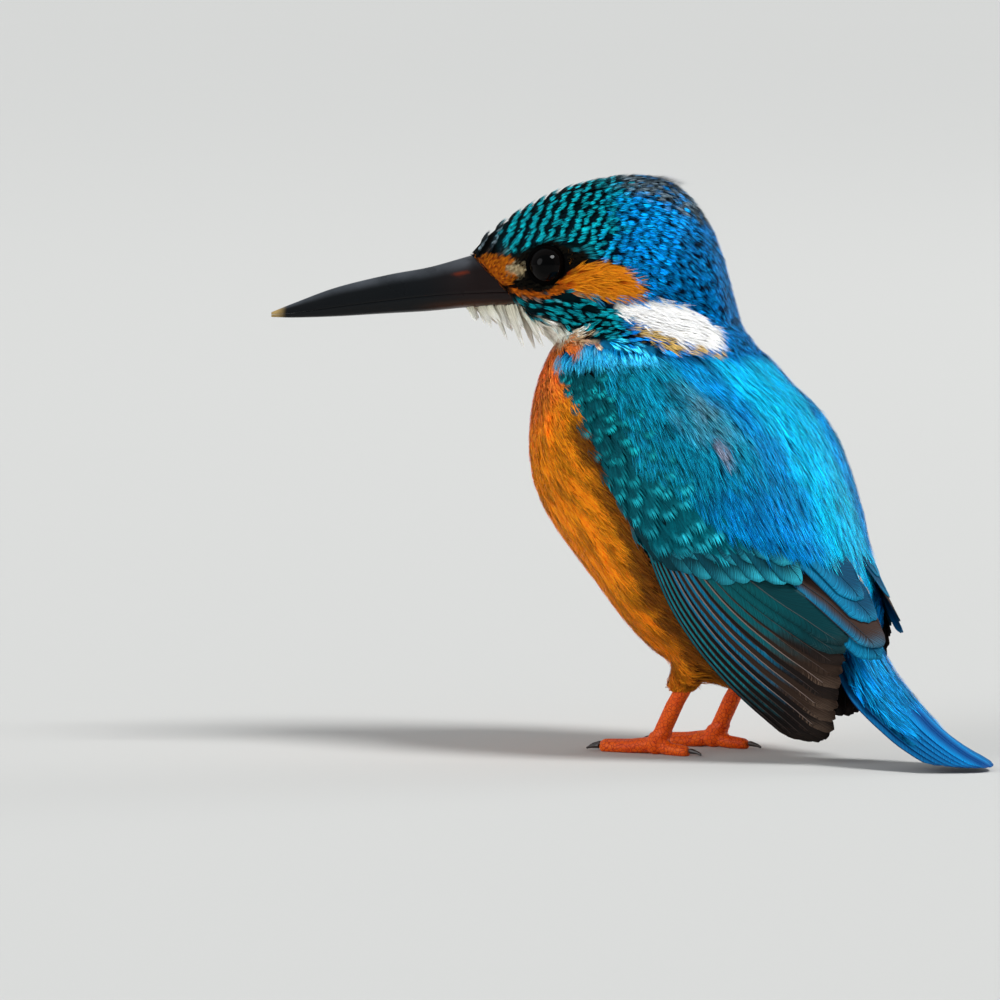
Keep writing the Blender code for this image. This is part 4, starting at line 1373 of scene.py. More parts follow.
base = mix_colour(tree, times(tree, grain, 0.8), attribute(tree, "tint_root", "Color"),
                  (0.0, 0.12, 0.15, 1))
spotted = mix_colour(tree, spot, base, attribute(tree, "tint_tip", "Color"))
chance = chance_at(tree, attribute(tree, "strand"), attribute(tree, "seed"))
colour_with(tree, shader, shade(tree, spotted, times_plus(tree, chance["Value"], 0.8, 0.6)))
print("covert finish:", len(tree.nodes), "nodes")

# %% Rows of coverts
LAST_ROW = [(42, 54), (60, 50.4), (77, 45.6), (87, 42), (100, 40)]


def covert_rows(way):
    """Places (along, degrees) and sizes of the coverts of one wing, row by row down the wing."""
    rng = np.random.default_rng(51)
    rows = []
    along, row = -1.6, 0
    while along < 40:
        gap = 2.3 + 1.7 * along / 40
        front = between(along, WING_EDGE) - 1.0
        rear = between(along, SCAPULAR_EDGE) - 10
        reach = np.linalg.norm(wing_point(way, along, front, 0) - wing_point(way, along, front - 1, 0))
        turn = gap * 0.95 / reach
        places = np.arange(front - turn * 0.5 * (row % 2), rear, -turn)
        for degrees in places:
            rows.append((along + rng.uniform(-0.5, 0.5), degrees + rng.uniform(-1.0, 1.0), gap))
        along += gap * 0.78
        row += 1
    rows = np.array(rows)
    last = between(rows[:, 1], LAST_ROW) - 4.5
    rows = rows[rows[:, 0] + 1.9 * rows[:, 2] < last]
    return rows[rows[:, 0] > shoulder_line(rows[:, 1]) - 0.5]


def covert_look(rows, way):
    """Dark teal vanes whose spots brighten down the wing and vary from feather to feather; along the wing's
    front edge the spots are darkened as painted shade.
    """
    along, degrees, gap = rows.T
    low = step(along, 12, 40)
    count = len(rows)
    look = start_look(count, "wing_bed")
    spot = ink("#10A2AC") + (ink("#28BCD4") - ink("#10A2AC")) * low[:, None]
    # Painted shade: spots darkened along the wing's front edge, where it tucks under the breast
    front_edge_shade = 1 - 0.8 * step(along, 24, 34) * step(degrees, 78, 86)
    look["tip"] = spot * np.random.default_rng(52).uniform(0.4, 1.4, (count, 1)) * front_edge_shade[:, None]
    look["root"] = ink("#013238") + (ink("#02505E") - ink("#013238")) * low[:, None]
    look["width"], look["length"] = gap * 1.40, gap * 2.1
    look["height"] = 0.70 + 0.25 * low
    look["lie"] = wing_point(way, along + 2, degrees + 0.5, 0) - wing_point(way, along, degrees, 0)
    look["on_head"] = np.zeros(count, bool)
    return look


for name, way in (("coverts_left", 1), ("coverts_right", -1)):
    rows = covert_rows(way)
    roots = wing_point(way, rows[:, 0], rows[:, 1], -0.3)
    coat(name, roots, covert_look(rows, way), COVERT, under_layer, covert_finish, 53, lift=0.35, sway=4)

# %% [markdown]
# ## Flight feathers
# Primaries, secondaries and tertials are long closed vanes, stacked like a fan with the innermost on
# top. Each is a sheet laid on the carrier: its outer edge runs between the front and the rear line
# of the fan, its tip ends on the wing's outline, and a shaft parts a teal outer web from a brown
# inner one. Solidify gives every sheet a real thickness.

# %% Blade sheets
SHAFT_EDGE, SHAFT_RIDGE = 0.03, 0.10  # how high a shaft's edge is over the vane, and its ridge over that


class Blades:
    """Collects feathers as sheets with shafts, each with its own chart of the OFBake map."""

    def __init__(self, charts):
        self.charts = charts
        self.points, self.faces, self.vane, self.chart = [], [], [], []
        self.numbers = {"seed": [], "reach": [], "shaft_at": [], "shaft_tone": [], "tip_glow": []}
        self.tints = {"tint_root": [], "tint_tip": []}
        self.count = 0

    def grid(self, points, vane, turned, reach, shaft_at, tone, glow, colours, seed):
        """One sheet, from rows of points running across it."""
        rows, columns = points.shape[:2]
        first = sum(len(p) for p in self.points)
        self.points.append(points.reshape(-1, 3))
        quads = quads_of(first + np.arange(rows * columns).reshape(rows, columns))
        self.faces.append(quads[:, ::-1] if turned else quads)
        flat = vane.reshape(-1, 2)
        self.vane.append(flat)
        chart_across = (self.count % self.charts + 0.06 + 0.88 * flat[:, 0]) / self.charts
        self.chart.append(np.stack([chart_across, 0.01 + 0.98 * flat[:, 1]], -1))
        for values, value in zip(self.numbers.values(), (seed, reach, shaft_at, tone, glow)):
            values.append(np.broadcast_to(value, (rows, columns)).ravel())
        for tints, colour in zip(self.tints.values(), colours):
            tints.append(np.tile(colour, (len(flat), 1)))

    def feather(self, place, length, shaft_at, colours, turned, seed, shape=(22, 10), shaft=(0.16, 0.05),
                tone=0.4, glow=0.0):
        """A vane and its shaft. place(t, c, lift) gives points from root (t 0) to tip (t 1), and from
        the outer edge (c 0) to the inner one (c 1)."""
        t, c = np.meshgrid(np.linspace(0, 1, shape[0] + 1), np.linspace(0, 1, shape[1] + 1), indexing="ij")
        self.grid(place(t, c, 0.0), np.stack([c, t], -1), turned, t * length, shaft_at, 0.0, glow, colours,
                  seed)
        t = np.linspace(0, 0.97, shape[0] + 1)[:, None]
        half = (shaft[0] + (shaft[1] - shaft[0]) * t) / 5.0
        side = np.array((-1.0, 0.0, 1.0))[None, :]
        c = shaft_at + half * side
        lift = SHAFT_EDGE + SHAFT_RIDGE * (1 - np.abs(side)) * (1 - 0.7 * t)
        self.grid(place(t + 0 * c, c, lift), np.stack([c, t + 0 * c], -1), turned, t * length, shaft_at, tone,
                  0.0, colours, seed)
        self.count += 1

    def finish(self, name, material, thickness):
        """All the sheets as one piece, made solid."""
        points, faces = np.concatenate(self.points), np.concatenate(self.faces)
        mesh = mesh_from(name, points, faces.tolist())
        corner = np.empty(len(mesh.loops), np.int32)
        mesh.loops.foreach_get("vertex_index", corner)
        give(mesh, "vane", "FLOAT2", np.concatenate(self.vane)[corner], "CORNER")
        give(mesh, "OFBake", "FLOAT2", np.concatenate(self.chart)[corner], "CORNER")
        for label, values in self.numbers.items():
            give(mesh, label, "FLOAT", np.concatenate(values))
        for label, values in self.tints.items():
            tint = np.concatenate(values)
            give(mesh, label, "FLOAT_COLOR", np.c_[tint, np.ones(len(tint))])
        mesh.materials.append(material)
        shape = link(name, mesh)
        solid = shape.modifiers.new("thickness", "SOLIDIFY")
        solid.thickness = thickness * MM
        solid.offset = -1.0
        fixed(shape)
        shape.data.uv_layers["OFBake"].active = True
        print(f"{name}: {self.count} feathers, {triangle_count(shape)} triangles")
        return shape


print("a shaft is at most", SHAFT_EDGE + SHAFT_RIDGE, "mm high")

# %% [markdown]
# ## The flight-feather finish
# A vane is two webs of slanting barbs beside a shaft. So the colour goes by the distance from the
# shaft, the barbs are a one-way noise on a slant, and each row of feathers sets how softly its webs
# meet and where its tip pales.

# %% The flight-feather finish
def blade_finish(name, web_soft, gloss, shaft_colour, fade, glow, glow_colour):
    """Two webs, fine slanting barbs, a shaft, a tip that fades to the inner colour and an edge that glows."""
    material, tree, shader = finish(name, Roughness=gloss, Specular_IOR_Level=0.08)
    across, down = split_in_two(tree, attribute(tree, "vane", "Vector"))
    from_shaft = maths(tree, "SUBTRACT", across, attribute(tree, "shaft_at"))
    away = maths(tree, "ABSOLUTE", from_shaft)
    slant = times_plus(tree, away, -15.0, attribute(tree, "reach"))
    seeded = times_plus(tree, attribute(tree, "seed"), 60.0, slant)
    barbs = add(tree, "ShaderNodeTexNoise", {"noise_dimensions": "1D"}, W=seeded, Scale=3.6,
                Detail=4.0).outputs["Fac"]
    wander = times_plus(tree, noise(tree, 420.0, 3.0), 0.10, -0.05)
    outer = ramp(tree, maths(tree, "ADD", from_shaft, wander), 0.0, -web_soft)
    outer = times(tree, outer, ramp(tree, across, 0.0, 0.04))
    worn = ramp(tree, times_plus(tree, wander, 2.0, down), *fade)
    outer = times(tree, outer, maths(tree, "SUBTRACT", 1.0, worn))
    web = mix_colour(tree, outer, attribute(tree, "tint_root", "Color"), attribute(tree, "tint_tip", "Color"))
    shine = ramp(tree, times_plus(tree, barbs, 0.3, down), *glow)
    shine = times(tree, shine, ramp(tree, away, 0.60, 0.05))
    shine = times(tree, shine, attribute(tree, "tip_glow"))
    web = mix_colour(tree, shine, web, (*ink(glow_colour), 1))
    barbed = shade(tree, web, times_plus(tree, barbs, 1.9, 0.05))
    shafted = mix_colour(tree, attribute(tree, "shaft_tone"), barbed, (*ink(shaft_colour), 1))
    colour_with(tree, shader, shafted)
    emboss(tree, shader, barbs, 0.3, 0.0001)
    return material


flight_finish = blade_finish("flight_webs", 0.03, 0.45, "#A08C84", (0.66, 0.92), (1.09, 1.16), "#6E5A4C")
covert_webs = blade_finish("covert_webs", 0.9, 0.60, "#0B3A4A", (1.4, 1.5), (0.86, 1.16), "#38CDE8")
tertial_finish = blade_finish("tertial_webs", 0.30, 0.62, "#0B3A4A", (1.4, 1.5), (1.0, 1.2), "#2CB8E8")
tail_finish = blade_finish("tail_webs", 0.60, 0.60, "#04508C", (1.4, 1.5), (1.0, 1.2), "#1AAAF0")
print("webs:", [m.name for m in (flight_finish, covert_webs, tertial_finish, tail_finish)])

# %% [markdown]
# ## The fan of a folded wing
# The fan is laid by a few lines down the wing: where the outer edges of the first and the last
# feather run, and where the tips end. Each feather reads them at its own share between first and
# last, so one number in a line moves the whole row smoothly.

# %% Lines of the fan
FRONT_LINE = [(14.2, 81), (22, 83.4), (33, 86.0), (39.6, 91.2), (49.8, 101.8), (58.8, 113.4), (66, 121),
              (73.4, 126.8), (80, 128)]
REAR_LINE = [(24, 72), (36, 68), (46, 64.5), (56, 60), (62, 56), (66, 52), (74, 46)]
TIP_LINE = [(0.0, 72.2), (0.12, 74.6), (0.29, 75.6), (0.42, 73.9), (0.59, 71.6), (0.80, 68.4), (1.0, 65.2)]
GREATER_TIPS = [(0.0, 39.0, 84.0), (0.33, 45.6, 75.0), (0.66, 50.4, 58.0), (1.0, 54.0, 40.0)]
FLIGHT_COUNT, GREATER_COUNT = 13, 9


def one_degree(way, along, degrees):
    """How many millimetres of wing one degree covers."""
    ahead = wing_point(way, along, degrees + 0.5, 0) - wing_point(way, along, degrees - 0.5, 0)
    return np.linalg.norm(ahead, axis=-1)


print("tips of the fan, mm along:", between(np.array((0, 0.5, 1)), TIP_LINE).round(1))


# %% A feather on the wing
def blade_on_wing(way, root, tip, edge_at, width_at, raised, round_tip, jag, seed):
    """A place(t, c, lift) for a feather whose outer edge follows edge_at(along) on the carrier."""
    rng = np.random.default_rng(seed)
    teeth = rng.uniform(-jag, jag, 64)

    def place(t, c, lift):
        uneven = np.interp(c, np.linspace(0, 1, 64), teeth)
        end = tip - round_tip * np.abs(2 * c - 1 + 0.15) ** 2.4 + uneven
        along = root + (end - root) * t
        edge = edge_at(along)
        across = width_at(t) / np.maximum(one_degree(way, along, edge), 0.05)
        degrees = edge - c * across
        height = raised - 0.28 * c - 0.9 * (1 - step(t, 0.0, 0.5)) + lift
        return wing_point(way, along, degrees, height)

    return place


print("one degree of the wing's edge, mm:", one_degree(1, 40.0, 90.0).round(2))

# %% The three rows of long feathers
BROWN_INNER, BRIGHT_SHAFTED, GLOWING, BLUER = (5, 6, 8, 9), (4, 6, 8), (4, 5, 6, 8), range(4, 8)


def build_flight(name, way):
    """Primaries and secondaries, from the lowest, at the wing's front edge, to the innermost."""
    blades = Blades(FLIGHT_COUNT)
    for i in range(FLIGHT_COUNT):
        q = i / (FLIGHT_COUNT - 1)

        def edge_at(along, lay=q**1.12):
            front, rear = between(along, FRONT_LINE), between(along, REAR_LINE)
            return front + (rear - front) * lay

        place = blade_on_wing(way, 24 + 4 * q, between(q, TIP_LINE), edge_at,
                              lambda t: between(t, [(0, 2.4), (0.4, 5.2), (0.85, 6.2), (1, 5.0)]),
                              -1.0 + 0.06 * i, 4.8 - 1.6 * q, 0.28, 100 + i)
        teal = ink("#046F92") if i in BLUER else ink("#04808E") * (1 - q) + ink("#034C52") * q
        inner = ink("#33251D") if i in BROWN_INNER else ink("#0A0707") * (1 - q) + ink("#241B18") * q
        if i > 10:
            inner = ink("#04363C")
        shaft_at = between(q, [(0, 0.10), (0.25, 0.11), (0.55, 0.12), (0.75, 0.22), (1, 0.34)])
        # The lowest feather's teal is darkened to 0.55 as painted shade, where the wing's front edge meets
        # the belly
        blades.feather(place, 46, shaft_at, (inner, teal * (0.55 if i == 0 else 1)), way > 0,
                       (i * 0.37) % 1, tone=0.7 if i in BRIGHT_SHAFTED else 0.14,
                       glow=0.7 if i in GLOWING else 0.1)
    return blades.finish(name, flight_finish, 0.10)


def build_greater(name, way):
    """The last two rows of coverts, broad and with a pale glow before the tip."""
    blades = Blades(2 * GREATER_COUNT)
    for i in range(2 * GREATER_COUNT):
        upper = i // GREATER_COUNT
        q = (i % GREATER_COUNT + 0.5 * upper) / (GREATER_COUNT - 0.5)
        tip = between(q, pairs(GREATER_TIPS, 1)) - 4.0 * upper + 0.5 * math.sin(i * 1.9)
        ends = between(q, pairs(GREATER_TIPS, 2))
        place = blade_on_wing(way, tip - 13 + 4 * upper, tip,
                              lambda s, e=ends, p=tip: e + 3 + 0.15 * (p - s) * (1 - e / 80),
                              lambda t: between(t, [(0, 3.0), (0.4, 5.2), (0.9, 5.6), (1, 4.6)]),
                              -0.15 + 0.03 * (i % GREATER_COUNT) + 0.08 * upper, 2.9, 0.24, 200 + i)
        colours = (ink("#033038"), ink("#03343C") * (1 - q) + ink("#08708C") * q)
        blades.feather(place, 15, 0.5, colours, way > 0, (i * 0.41) % 1, shape=(14, 8), shaft=(0.10, 0.04),
                       tone=0.3, glow=(0.55 + 0.45 * math.sin(i * 2.4) ** 2) * step(q, 0.1, 0.4))
    return blades.finish(name, covert_webs, 0.10)


# Tip, outer edge, width and height over the carrier of each tertial, longest first
TERTIALS = [(70.2, 46, 8.2, -0.55), (68.6, 39, 8.2, -0.35), (64.2, 30.5, 8.0, -0.20), (60.0, 27, 7.6, -0.05)]


def build_tertials(name, way):
    """The long inner feathers that cover the folded fan; the second one is brown."""
    blades = Blades(len(TERTIALS))
    for i, (tip, edge, wide, raised) in enumerate(TERTIALS):
        place = blade_on_wing(way, tip - 19, tip, lambda s, e=edge, p=tip: e + 0.30 * (p - s),
                              lambda t, w=wide: w * between(t, [(0, 0.6), (0.4, 0.95), (0.9, 1), (1, 0.80)]),
                              raised, 3.4, 0.18, 300 + i)
        inner, shaft_at = (ink("#3C2C26"), 0.27) if i == 1 else (ink("#03405E"), 0.42)
        blades.feather(place, 24, shaft_at, (inner, ink("#057098")), way > 0, (i * 0.29) % 1,
                       shape=(22, 14), shaft=(0.12, 0.05), tone=0.35, glow=0.3)
    return blades.finish(name, tertial_finish, 0.10)


for side, way in (("left", 1), ("right", -1)):
    flight = build_flight("flight_feathers_" + side, way)
    build_greater("greater_coverts_" + side, way)
    build_tertials("tertials_" + side, way)
    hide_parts("wing_primaries_" + side, "wing_secondaries_" + side)

# %% [markdown]
# ## Tail
# Twelve tail feathers lie on the bent plate, the middle pair on top. Each is a blade like those of
# the wing, and none may sink below the floor.

# %% Tail feathers
# Share of the length, half width, half thickness, droop at the sides
TAIL = [(-0.10, 3.6, 2.6, 0.8), (0.05, 4.8, 3.0, 1.2), (0.30, 6.4, 2.2, 1.5), (0.60, 7.8, 1.2, 1.2),
        (0.85, 8.4, 0.7, 0.5), (0.95, 7.4, 0.6, 0.2), (1.0, 5.4, 0.5, 0.0)]


def blade_on_tail(side, k, seed):
    """The k-th feather from the middle, on one side of the tail."""
    rng = np.random.default_rng(seed)
    teeth = rng.uniform(-0.006, 0.006, 64)
    tip = 1.0 - 0.012 * k**1.5

    def place(t, c, lift):
        end = tip - 0.075 * np.abs(2 * c - 1) ** 2.6 + np.interp(c, np.linspace(0, 1, 64), teeth)
        share = -0.05 + (end + 0.05) * t
        width = between(share, pairs(TAIL[:5], 1))
        thick, droop = between(share, pairs(TAIL, 2)), between(share, pairs(TAIL, 3))
        centre = width * (0.06 + 0.128 * k)
        half = 2.3 * between(t, [(0, 0.6), (0.5, 1.0), (1, 0.98)])
        across = centre + (0.5 - c) * 2 * half
        top = thick * (1 - 0.20 * k) - droop * np.minimum(np.abs(across) / width, 1) ** 2
        top = top - 1.3 * (1 - step(share, 0.15, 0.60))
        camber = 0.18 * np.sin(math.pi * c)
        point = tail_point(share, -side * across, top - 0.06 * k + camber + lift + 0.1)
        point[..., 2] = np.maximum(point[..., 2], 0.18 + 0.05 * (5 - k))
        return point

    return place


tail_blades = Blades(12)
for side in (1, -1):
    for k in range(6):
        deep = ink("#034482") * (1 - k / 10)
        bright = ink("#0088CC") * (1 - k / 12)
        tail_blades.feather(blade_on_tail(side, k, 400 + k), 36, 0.52 if k == 0 else 0.42, (deep, bright),
                            side > 0, (k * 0.31 + side * 0.1) % 1, shape=(26, 10), shaft=(0.10, 0.04),
                            tone=0.25)
tail_feathers = tail_blades.finish("tail_feathers", tail_finish, 0.12)
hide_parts("tail")

# %% [markdown]
# ## Uppertail coverts
# Long blue strands hide the place where tail feathers leave the body. They thin out down the tail,
# and their ground is a copy of trunk and tail alone, without the wings that lie over the rump.

# %% Uppertail coverts
rump_ground = body_under_coat("rump_ground", ["trunk", "tail"], LAYER_SWELL, LAYER_CELL, LAYER_ROUNDS)
give(rump_ground.data, "facing", "FLOAT_VECTOR", mesh_normals(rump_ground.data))
cover_roots = scatter(rump_ground, 0.72, 61)
along, degrees, way = body_place(cover_roots)
down_tail = (cover_roots[:, 0] - TAIL_ROOT[0]) / (TAIL_LENGTH * 0.75)
thinning = np.random.default_rng(63).random(len(cover_roots)) > step(down_tail, 0.25, 0.62)
keep = (along > 48) & thinning & (facing_at(rump_ground, cover_roots)[:, 2] > -0.10) & (degrees < 100)
look = start_look(keep.sum(), "tail_cover")
look["length"] *= 1.15 - 0.7 * np.clip(down_tail[keep], 0, 1)
shades = np.random.default_rng(64).uniform(0.45, 1.5, keep.sum())[:, None]
look["root"], look["tip"] = look["root"] * shades, look["tip"] * shades
look["height"] *= 1.0 - 1.2 * np.clip(down_tail[keep], 0, 0.5)
slope = TAIL_SLOPES[0] + (TAIL_SLOPES[1] - TAIL_SLOPES[0]) * np.clip(down_tail[keep], 0, 1)
look["lie"] = np.stack([np.cos(slope), -0.03 * cover_roots[keep, 1], -np.sin(slope)], -1)
look["on_head"] = np.zeros(keep.sum(), bool)
coat("uppertail_coverts", cover_roots[keep], look, STRANDS, rump_ground, blue_finish, 62, lift=0.25, sway=5)
drop(rump_ground)

# %% [markdown]
# ## Bill
# The bill is two horny sheaths that meet on the gape line. Both are lofted finely from the same few
# sections as the solid frame: distance ahead, ridge, gape line, underside and half width.

# %% Bill sheaths
BILL = [(20.0, 84.8, 76.5, 74.0, 5.6), (29.5, 82.1, 76.1, 73.6, 3.9), (36.0, 80.3, 75.6, 73.0, 3.0),
        (43.0, 79.0, 74.8, 72.6, 2.4), (51.5, 76.9, 73.7, 72.1, 1.7), (58.5, 74.3, 72.7, 71.9, 0.9),
        (62.2, 72.8, 72.4, 72.0, 0.3)]
GAPE_GAP = 0.03  # how far each sheath keeps from the gape line


def bill_half(name, upper, rings=72, sides=32):
    """A closed half of the bill: an arch over the gape line, or the keel below it."""
    ahead, ridge, gape, under, width = np.moveaxis(curve(BILL, np.linspace(0.0, 6, rings)), -1, 0)
    a = np.linspace(0, math.pi, sides + 1)
    side = width[:, None] * np.sign(np.cos(a)) * np.abs(np.cos(a)) ** 0.85
    arch = np.sin(a) ** (1.15 if upper else 0.9)
    tall = (ridge - gape - GAPE_GAP) if upper else -np.maximum(gape - GAPE_GAP - under, 0.05)
    start = gape + GAPE_GAP if upper else gape - GAPE_GAP
    z = start[:, None] + tall[:, None] * arch
    points = head_point(np.broadcast_to(ahead[:, None], z.shape), side, z).reshape(-1, 3)
    index = np.arange(rings * (sides + 1)).reshape(rings, sides + 1)
    closing = np.stack([index[:-1, 0], index[1:, 0], index[1:, -1], index[:-1, -1]], -1)
    faces = quads_of(index).tolist() + closing.tolist() + [index[0].tolist(), index[-1][::-1].tolist()]
    mesh = mesh_from(name, points, faces)
    whole = bmesh.new()
    whole.from_mesh(mesh)
    bmesh.ops.remove_doubles(whole, verts=whole.verts, dist=1e-7)
    bmesh.ops.recalc_face_normals(whole, faces=whole.faces)
    whole.to_mesh(mesh)
    whole.free()
    ahead, side, z = head_place(to_bird(mesh_points(mesh)))
    give(mesh, "bill_ahead", "FLOAT", ahead)
    ridge_over_gape = [(row[0], row[1] - row[2]) for row in BILL]
    give(mesh, "bill_rise", "FLOAT", (z - between(ahead, pairs(BILL, 2))) / between(ahead, ridge_over_gape))
    nostril = 1 - np.hypot((ahead - 30.6) / 1.7, (z - 79.3 + 0.2 * (ahead - 30.6)) / 0.34)
    give(mesh, "nostril", "FLOAT", 0.8 * step(nostril, -0.1, 0.5))
    return link(name, mesh)


print("the bill's sections:", len(BILL))

# %% Bill finish
bill_finish, tree, shader = finish("bill_horn", Specular_IOR_Level=0.09, Coat_Weight=0.12,
                                   Coat_Roughness=0.14)
horn_ahead, horn_rise = attribute(tree, "bill_ahead"), attribute(tree, "bill_rise")
horn_grain = noise(tree, 240.0, 5.0)
pale = ramp(tree, times_plus(tree, horn_grain, 1.6, horn_ahead), 60.2, 62.4)
warm = times(tree, ramp(tree, horn_ahead, 38.0, 26.0), 0.20)
dark = mix_colour(tree, warm, (0.004, 0.005, 0.006, 1), (0.045, 0.012, 0.006, 1))
# Painted reflection: a lighter blue-grey sheen along the ridge of the bill, broken up by the grain
painted_ridge_sheen = times(tree, ramp(tree, horn_rise, 0.55, 0.95), horn_grain)
dark = mix_colour(tree, painted_ridge_sheen, dark, (0.085, 0.095, 0.110, 1))
low_edge = times(tree, ramp(tree, horn_rise, -0.1, -0.4), ramp(tree, horn_ahead, 40.0, 27.0))
dark = mix_colour(tree, low_edge, dark, (0.070, 0.022, 0.006, 1))
dark = mix_colour(tree, attribute(tree, "nostril"), dark, (0.13, 0.018, 0.005, 1))
colour_with(tree, shader, mix_colour(tree, pale, dark, (0.38, 0.26, 0.10, 1)))
roughen(tree, shader, horn_grain, 0.18, 0.42)
emboss(tree, shader, horn_grain, 0.25, 0.0001)
for name, upper in (("bill_upper", True), ("bill_lower", False)):
    piece = bill_half(name + "_sheath", upper)
    piece.data.materials.append(bill_finish)
    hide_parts(name)
print("bill: gape at", BILL[1][2], "mm, tip at", BILL[-1][0], "mm ahead")

# %% [markdown]
# ## Eyes and lids
# The eye is a dark wet ball that stands a little out of the head. A thin ring of bare skin, the lid,
# closes the gap between ball and feathers and follows the ball's curve.

# %% Eyes
eye_finish, tree, shader = finish("wet_dark_eye", Roughness=0.06, Specular_IOR_Level=0.07)
from_pupil = add(tree, "ShaderNodeVectorMath", {"operation": "LENGTH"},
                 i0=attribute(tree, "eye_place", "Vector"))
iris = ramp(tree, from_pupil.outputs["Value"], 1.45, 1.6)
PUPIL_BLACK, IRIS_BROWN = (0.0004, 0.0004, 0.0004, 1), (0.0016, 0.0010, 0.0008, 1)
colour_with(tree, shader, mix_colour(tree, iris, PUPIL_BLACK, IRIS_BROWN))
lid_finish, tree, shader = finish("lid_skin", Roughness=0.7, Specular_IOR_Level=0.02)
lid_grain = noise(tree, 2600.0, 3.0)
colour_with(tree, shader, mix_colour(tree, lid_grain, (0.0003, 0.0003, 0.0003, 1), (0.001, 0.001, 0.001, 1)))
emboss(tree, shader, lid_grain, 0.5, 0.0001)
print("finishes:", eye_finish.name, lid_finish.name)

# %% Balls and lids
EYE_FORWARD_MM, BALL_SCALE = 0.25, 1.04  # the ball stands out a little from the lid
LID_RADIUS, LID_RISE = (2.93, 2.98, 3.06, 3.18, 3.40, 3.70), (1.28, 1.46, 1.44, 1.28, 1.00, 0.40)


def eye_axes(way):
    """The eye's outward axis, which looks a little ahead and up, and two axes across it."""
    out = head_side * way + 0.14 * head_ahead + 0.10 * UP
    out /= np.linalg.norm(out)
    up = UP - out * out[2]
    up /= np.linalg.norm(up)
    return out, up, np.cross(up, out)


def build_eye(name, way):
    """A ball with a slight bulge over the pupil, whose points know their place on the iris."""
    out, up, across = eye_axes(way)
    centre = head_point(EYE_AHEAD, EYE_SIDE * way, EYE_Z) + EYE_FORWARD_MM * out
    ball = bmesh.new()
    bmesh.ops.create_uvsphere(ball, u_segments=48, v_segments=32, radius=1.0)
    mesh = bpy.data.meshes.new(name)
    ball.to_mesh(mesh)
    ball.free()
    local = mesh_points(mesh)
    bulge = 1 + 0.04 * step(local[:, 2], 0.75, 1.0)
    turned = local[:, 0:1] * across + local[:, 1:2] * up + local[:, 2:3] * out
    move_points(mesh, to_world(centre + turned * BALL_SCALE * EYE_RADIUS * bulge[:, None]))
    mesh.update()
    if np.linalg.det(np.array((across, up, out))) < 0:
        mesh.flip_normals()
    smooth(mesh)
    flat = np.c_[local[:, :2] * EYE_RADIUS, np.zeros(len(local))]
    give(mesh, "eye_place", "FLOAT_VECTOR", flat)
    mesh.materials.append(eye_finish)
    return link(name, mesh)


def build_lid(name, way, steps=56):
    """A ring from the ball's surface out under the feathers, thick at the rim and slightly oval."""
    centre = head_point(EYE_AHEAD, EYE_SIDE * way, EYE_Z)
    out, up, across = eye_axes(way)
    a = np.linspace(0, 2 * math.pi, steps, endpoint=False)[:, None]
    oval = 1 - 0.03 * np.abs(np.sin(a))
    radius = np.array(LID_RADIUS)[None, :] * oval
    rise = np.array(LID_RISE)[None, :] + 0 * a
    flat = np.cos(a)[..., None] * across + np.sin(a)[..., None] * up
    points = centre + radius[..., None] * flat + rise[..., None] * out
    columns = radius.shape[1]
    index = np.arange(steps * columns).reshape(steps, columns)
    around = np.concatenate([index, index[:1]])
    mesh = mesh_from(name, points.reshape(-1, 3), quads_of(around).tolist())
    whole = bmesh.new()
    whole.from_mesh(mesh)
    whole.normal_update()
    if sum(face.normal.dot(Vector(out)) for face in whole.faces) < 0:
        bmesh.ops.reverse_faces(whole, faces=whole.faces)
    whole.to_mesh(mesh)
    whole.free()
    mesh.materials.append(lid_finish)
    return link(name, mesh)


for side, way in (("left", 1), ("right", -1)):
    eyeball = build_eye("eyeball_" + side, way)
    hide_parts("eye_" + side)
    lid = build_lid("eyelids_" + side, way)
    print(eyeball.name, triangle_count(eyeball), "triangles,", lid.name, triangle_count(lid))

# %% [markdown]
# ## Legs and claws
# A kingfisher's legs are short and coral red, with small scales. The solid leg and foot are copied
# as one surface, remeshed finely so that no joint shows, and scaled by a cell pattern in the bump.

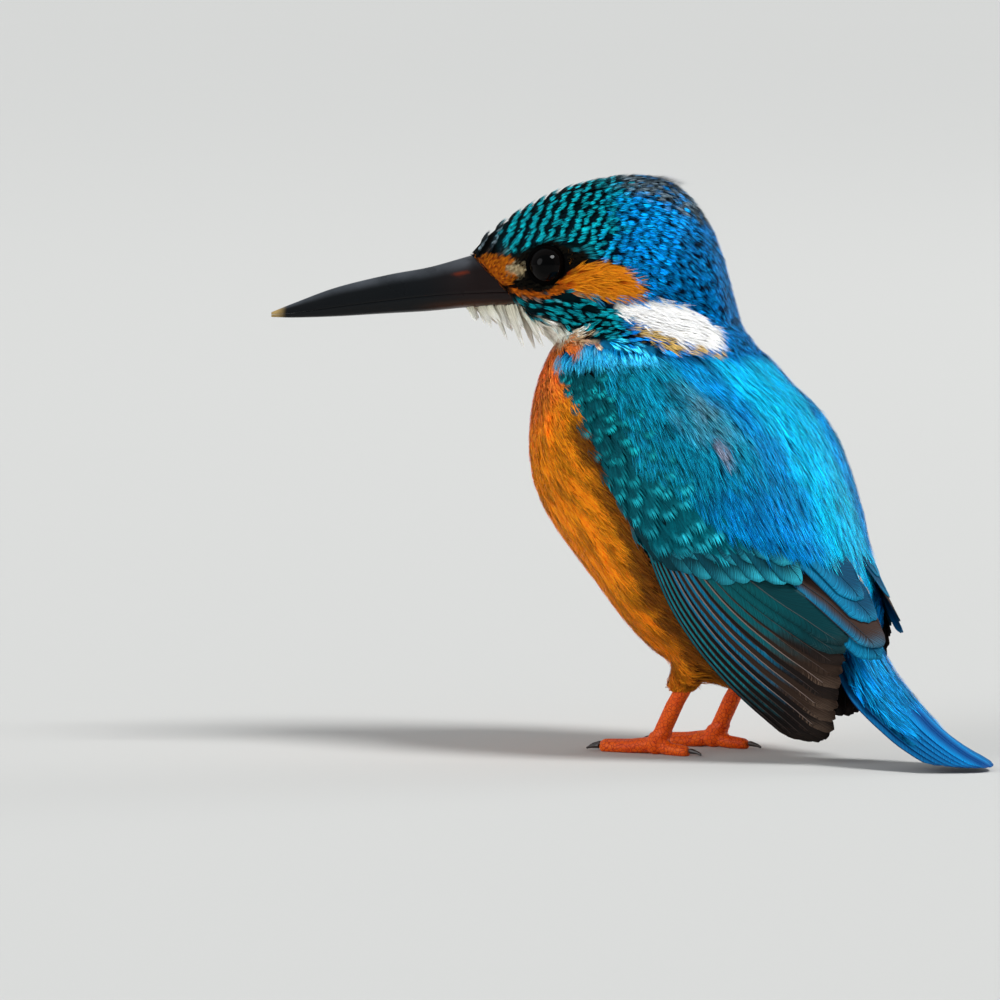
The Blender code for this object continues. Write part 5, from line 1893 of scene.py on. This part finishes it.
# %% Finishes of legs and claws
leg_finish, tree, shader = finish("scaly_coral_skin", Subsurface_Weight=0.08, Subsurface_Scale=0.001,
                                  Specular_IOR_Level=0.25)
leg_place = tree.nodes.new("ShaderNodeTexCoord").outputs["Object"]
scales = add(tree, "ShaderNodeTexVoronoi", {"feature": "DISTANCE_TO_EDGE"}, Vector=leg_place, Scale=1500.0)
mottle = noise(tree, 420.0, 3.0)
groove = ramp(tree, scales.outputs["Distance"], 0.0, 0.10)
coral = mix_colour(tree, mottle, (*ink("#E23A04"), 1), (*ink("#FF7A12"), 1))
colour_with(tree, shader, mix_colour(tree, groove, (*ink("#B82C04"), 1), coral))
roughen(tree, shader, mottle, 0.38, 0.6)
emboss(tree, shader, groove, 0.5, 0.0001)

claw_finish, tree, shader = finish("dark_claw_horn", Coat_Weight=0.2, Coat_Roughness=0.3)
claw_grain = noise(tree, 900.0, 3.0)
colour_with(tree, shader, mix_colour(tree, claw_grain, (0.008, 0.007, 0.007, 1), (0.05, 0.035, 0.028, 1)))
roughen(tree, shader, claw_grain, 0.25, 0.45)
print("finishes:", leg_finish.name, claw_finish.name)

# %% Legs
TOE_NAMES = ("inner", "middle", "outer", "hind")
SHIN_MM = np.array((0.6, 0.0, 0.8)) * 2.6  # how far the leg reaches up into the feathers


def stand(shape, points):
    """Keeps every point on or above the floor."""
    points[:, 2] = np.maximum(points[:, 2], 0.0)
    move_points(shape.data, points)
    smooth(shape.data)


for side in ("left", "right"):
    leg = flesh("leg_" + side, ["tarsus_" + side, "foot_" + side], 0.22, 0.28, 3)
    settled = mesh_points(leg.data) - mesh_normals(leg.data) * 0.10 * MM
    settled += step(settled[:, 2:3] / MM, 8.6, 9.6) * SHIN_MM * MM
    stand(leg, settled)
    dress(leg, leg_finish)
    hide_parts("tarsus_" + side, "foot_" + side)
    names = [f"claw_{toe}_{side}" for toe in TOE_NAMES]
    claws = flesh("claws_" + side, names, 0.08, 0.14, 1)
    stand(claws, mesh_points(claws.data))
    dress(claws, claw_finish)
    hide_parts(*names)
    print(f"leg_{side}:", len(leg.data.polygons), "faces")

# %% [markdown]
# ## Finish
# The helper surface goes, the skin stands for the flesh solids, and every piece rides on the frame's
# one body, because a mounted bird has no joints. Feathers may stand proud by millimetres only.

# %% Finish
drop(under_layer)
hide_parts(*FLESH)
for shape in made.values():
    if shape is not floor:
        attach(shape, "root")
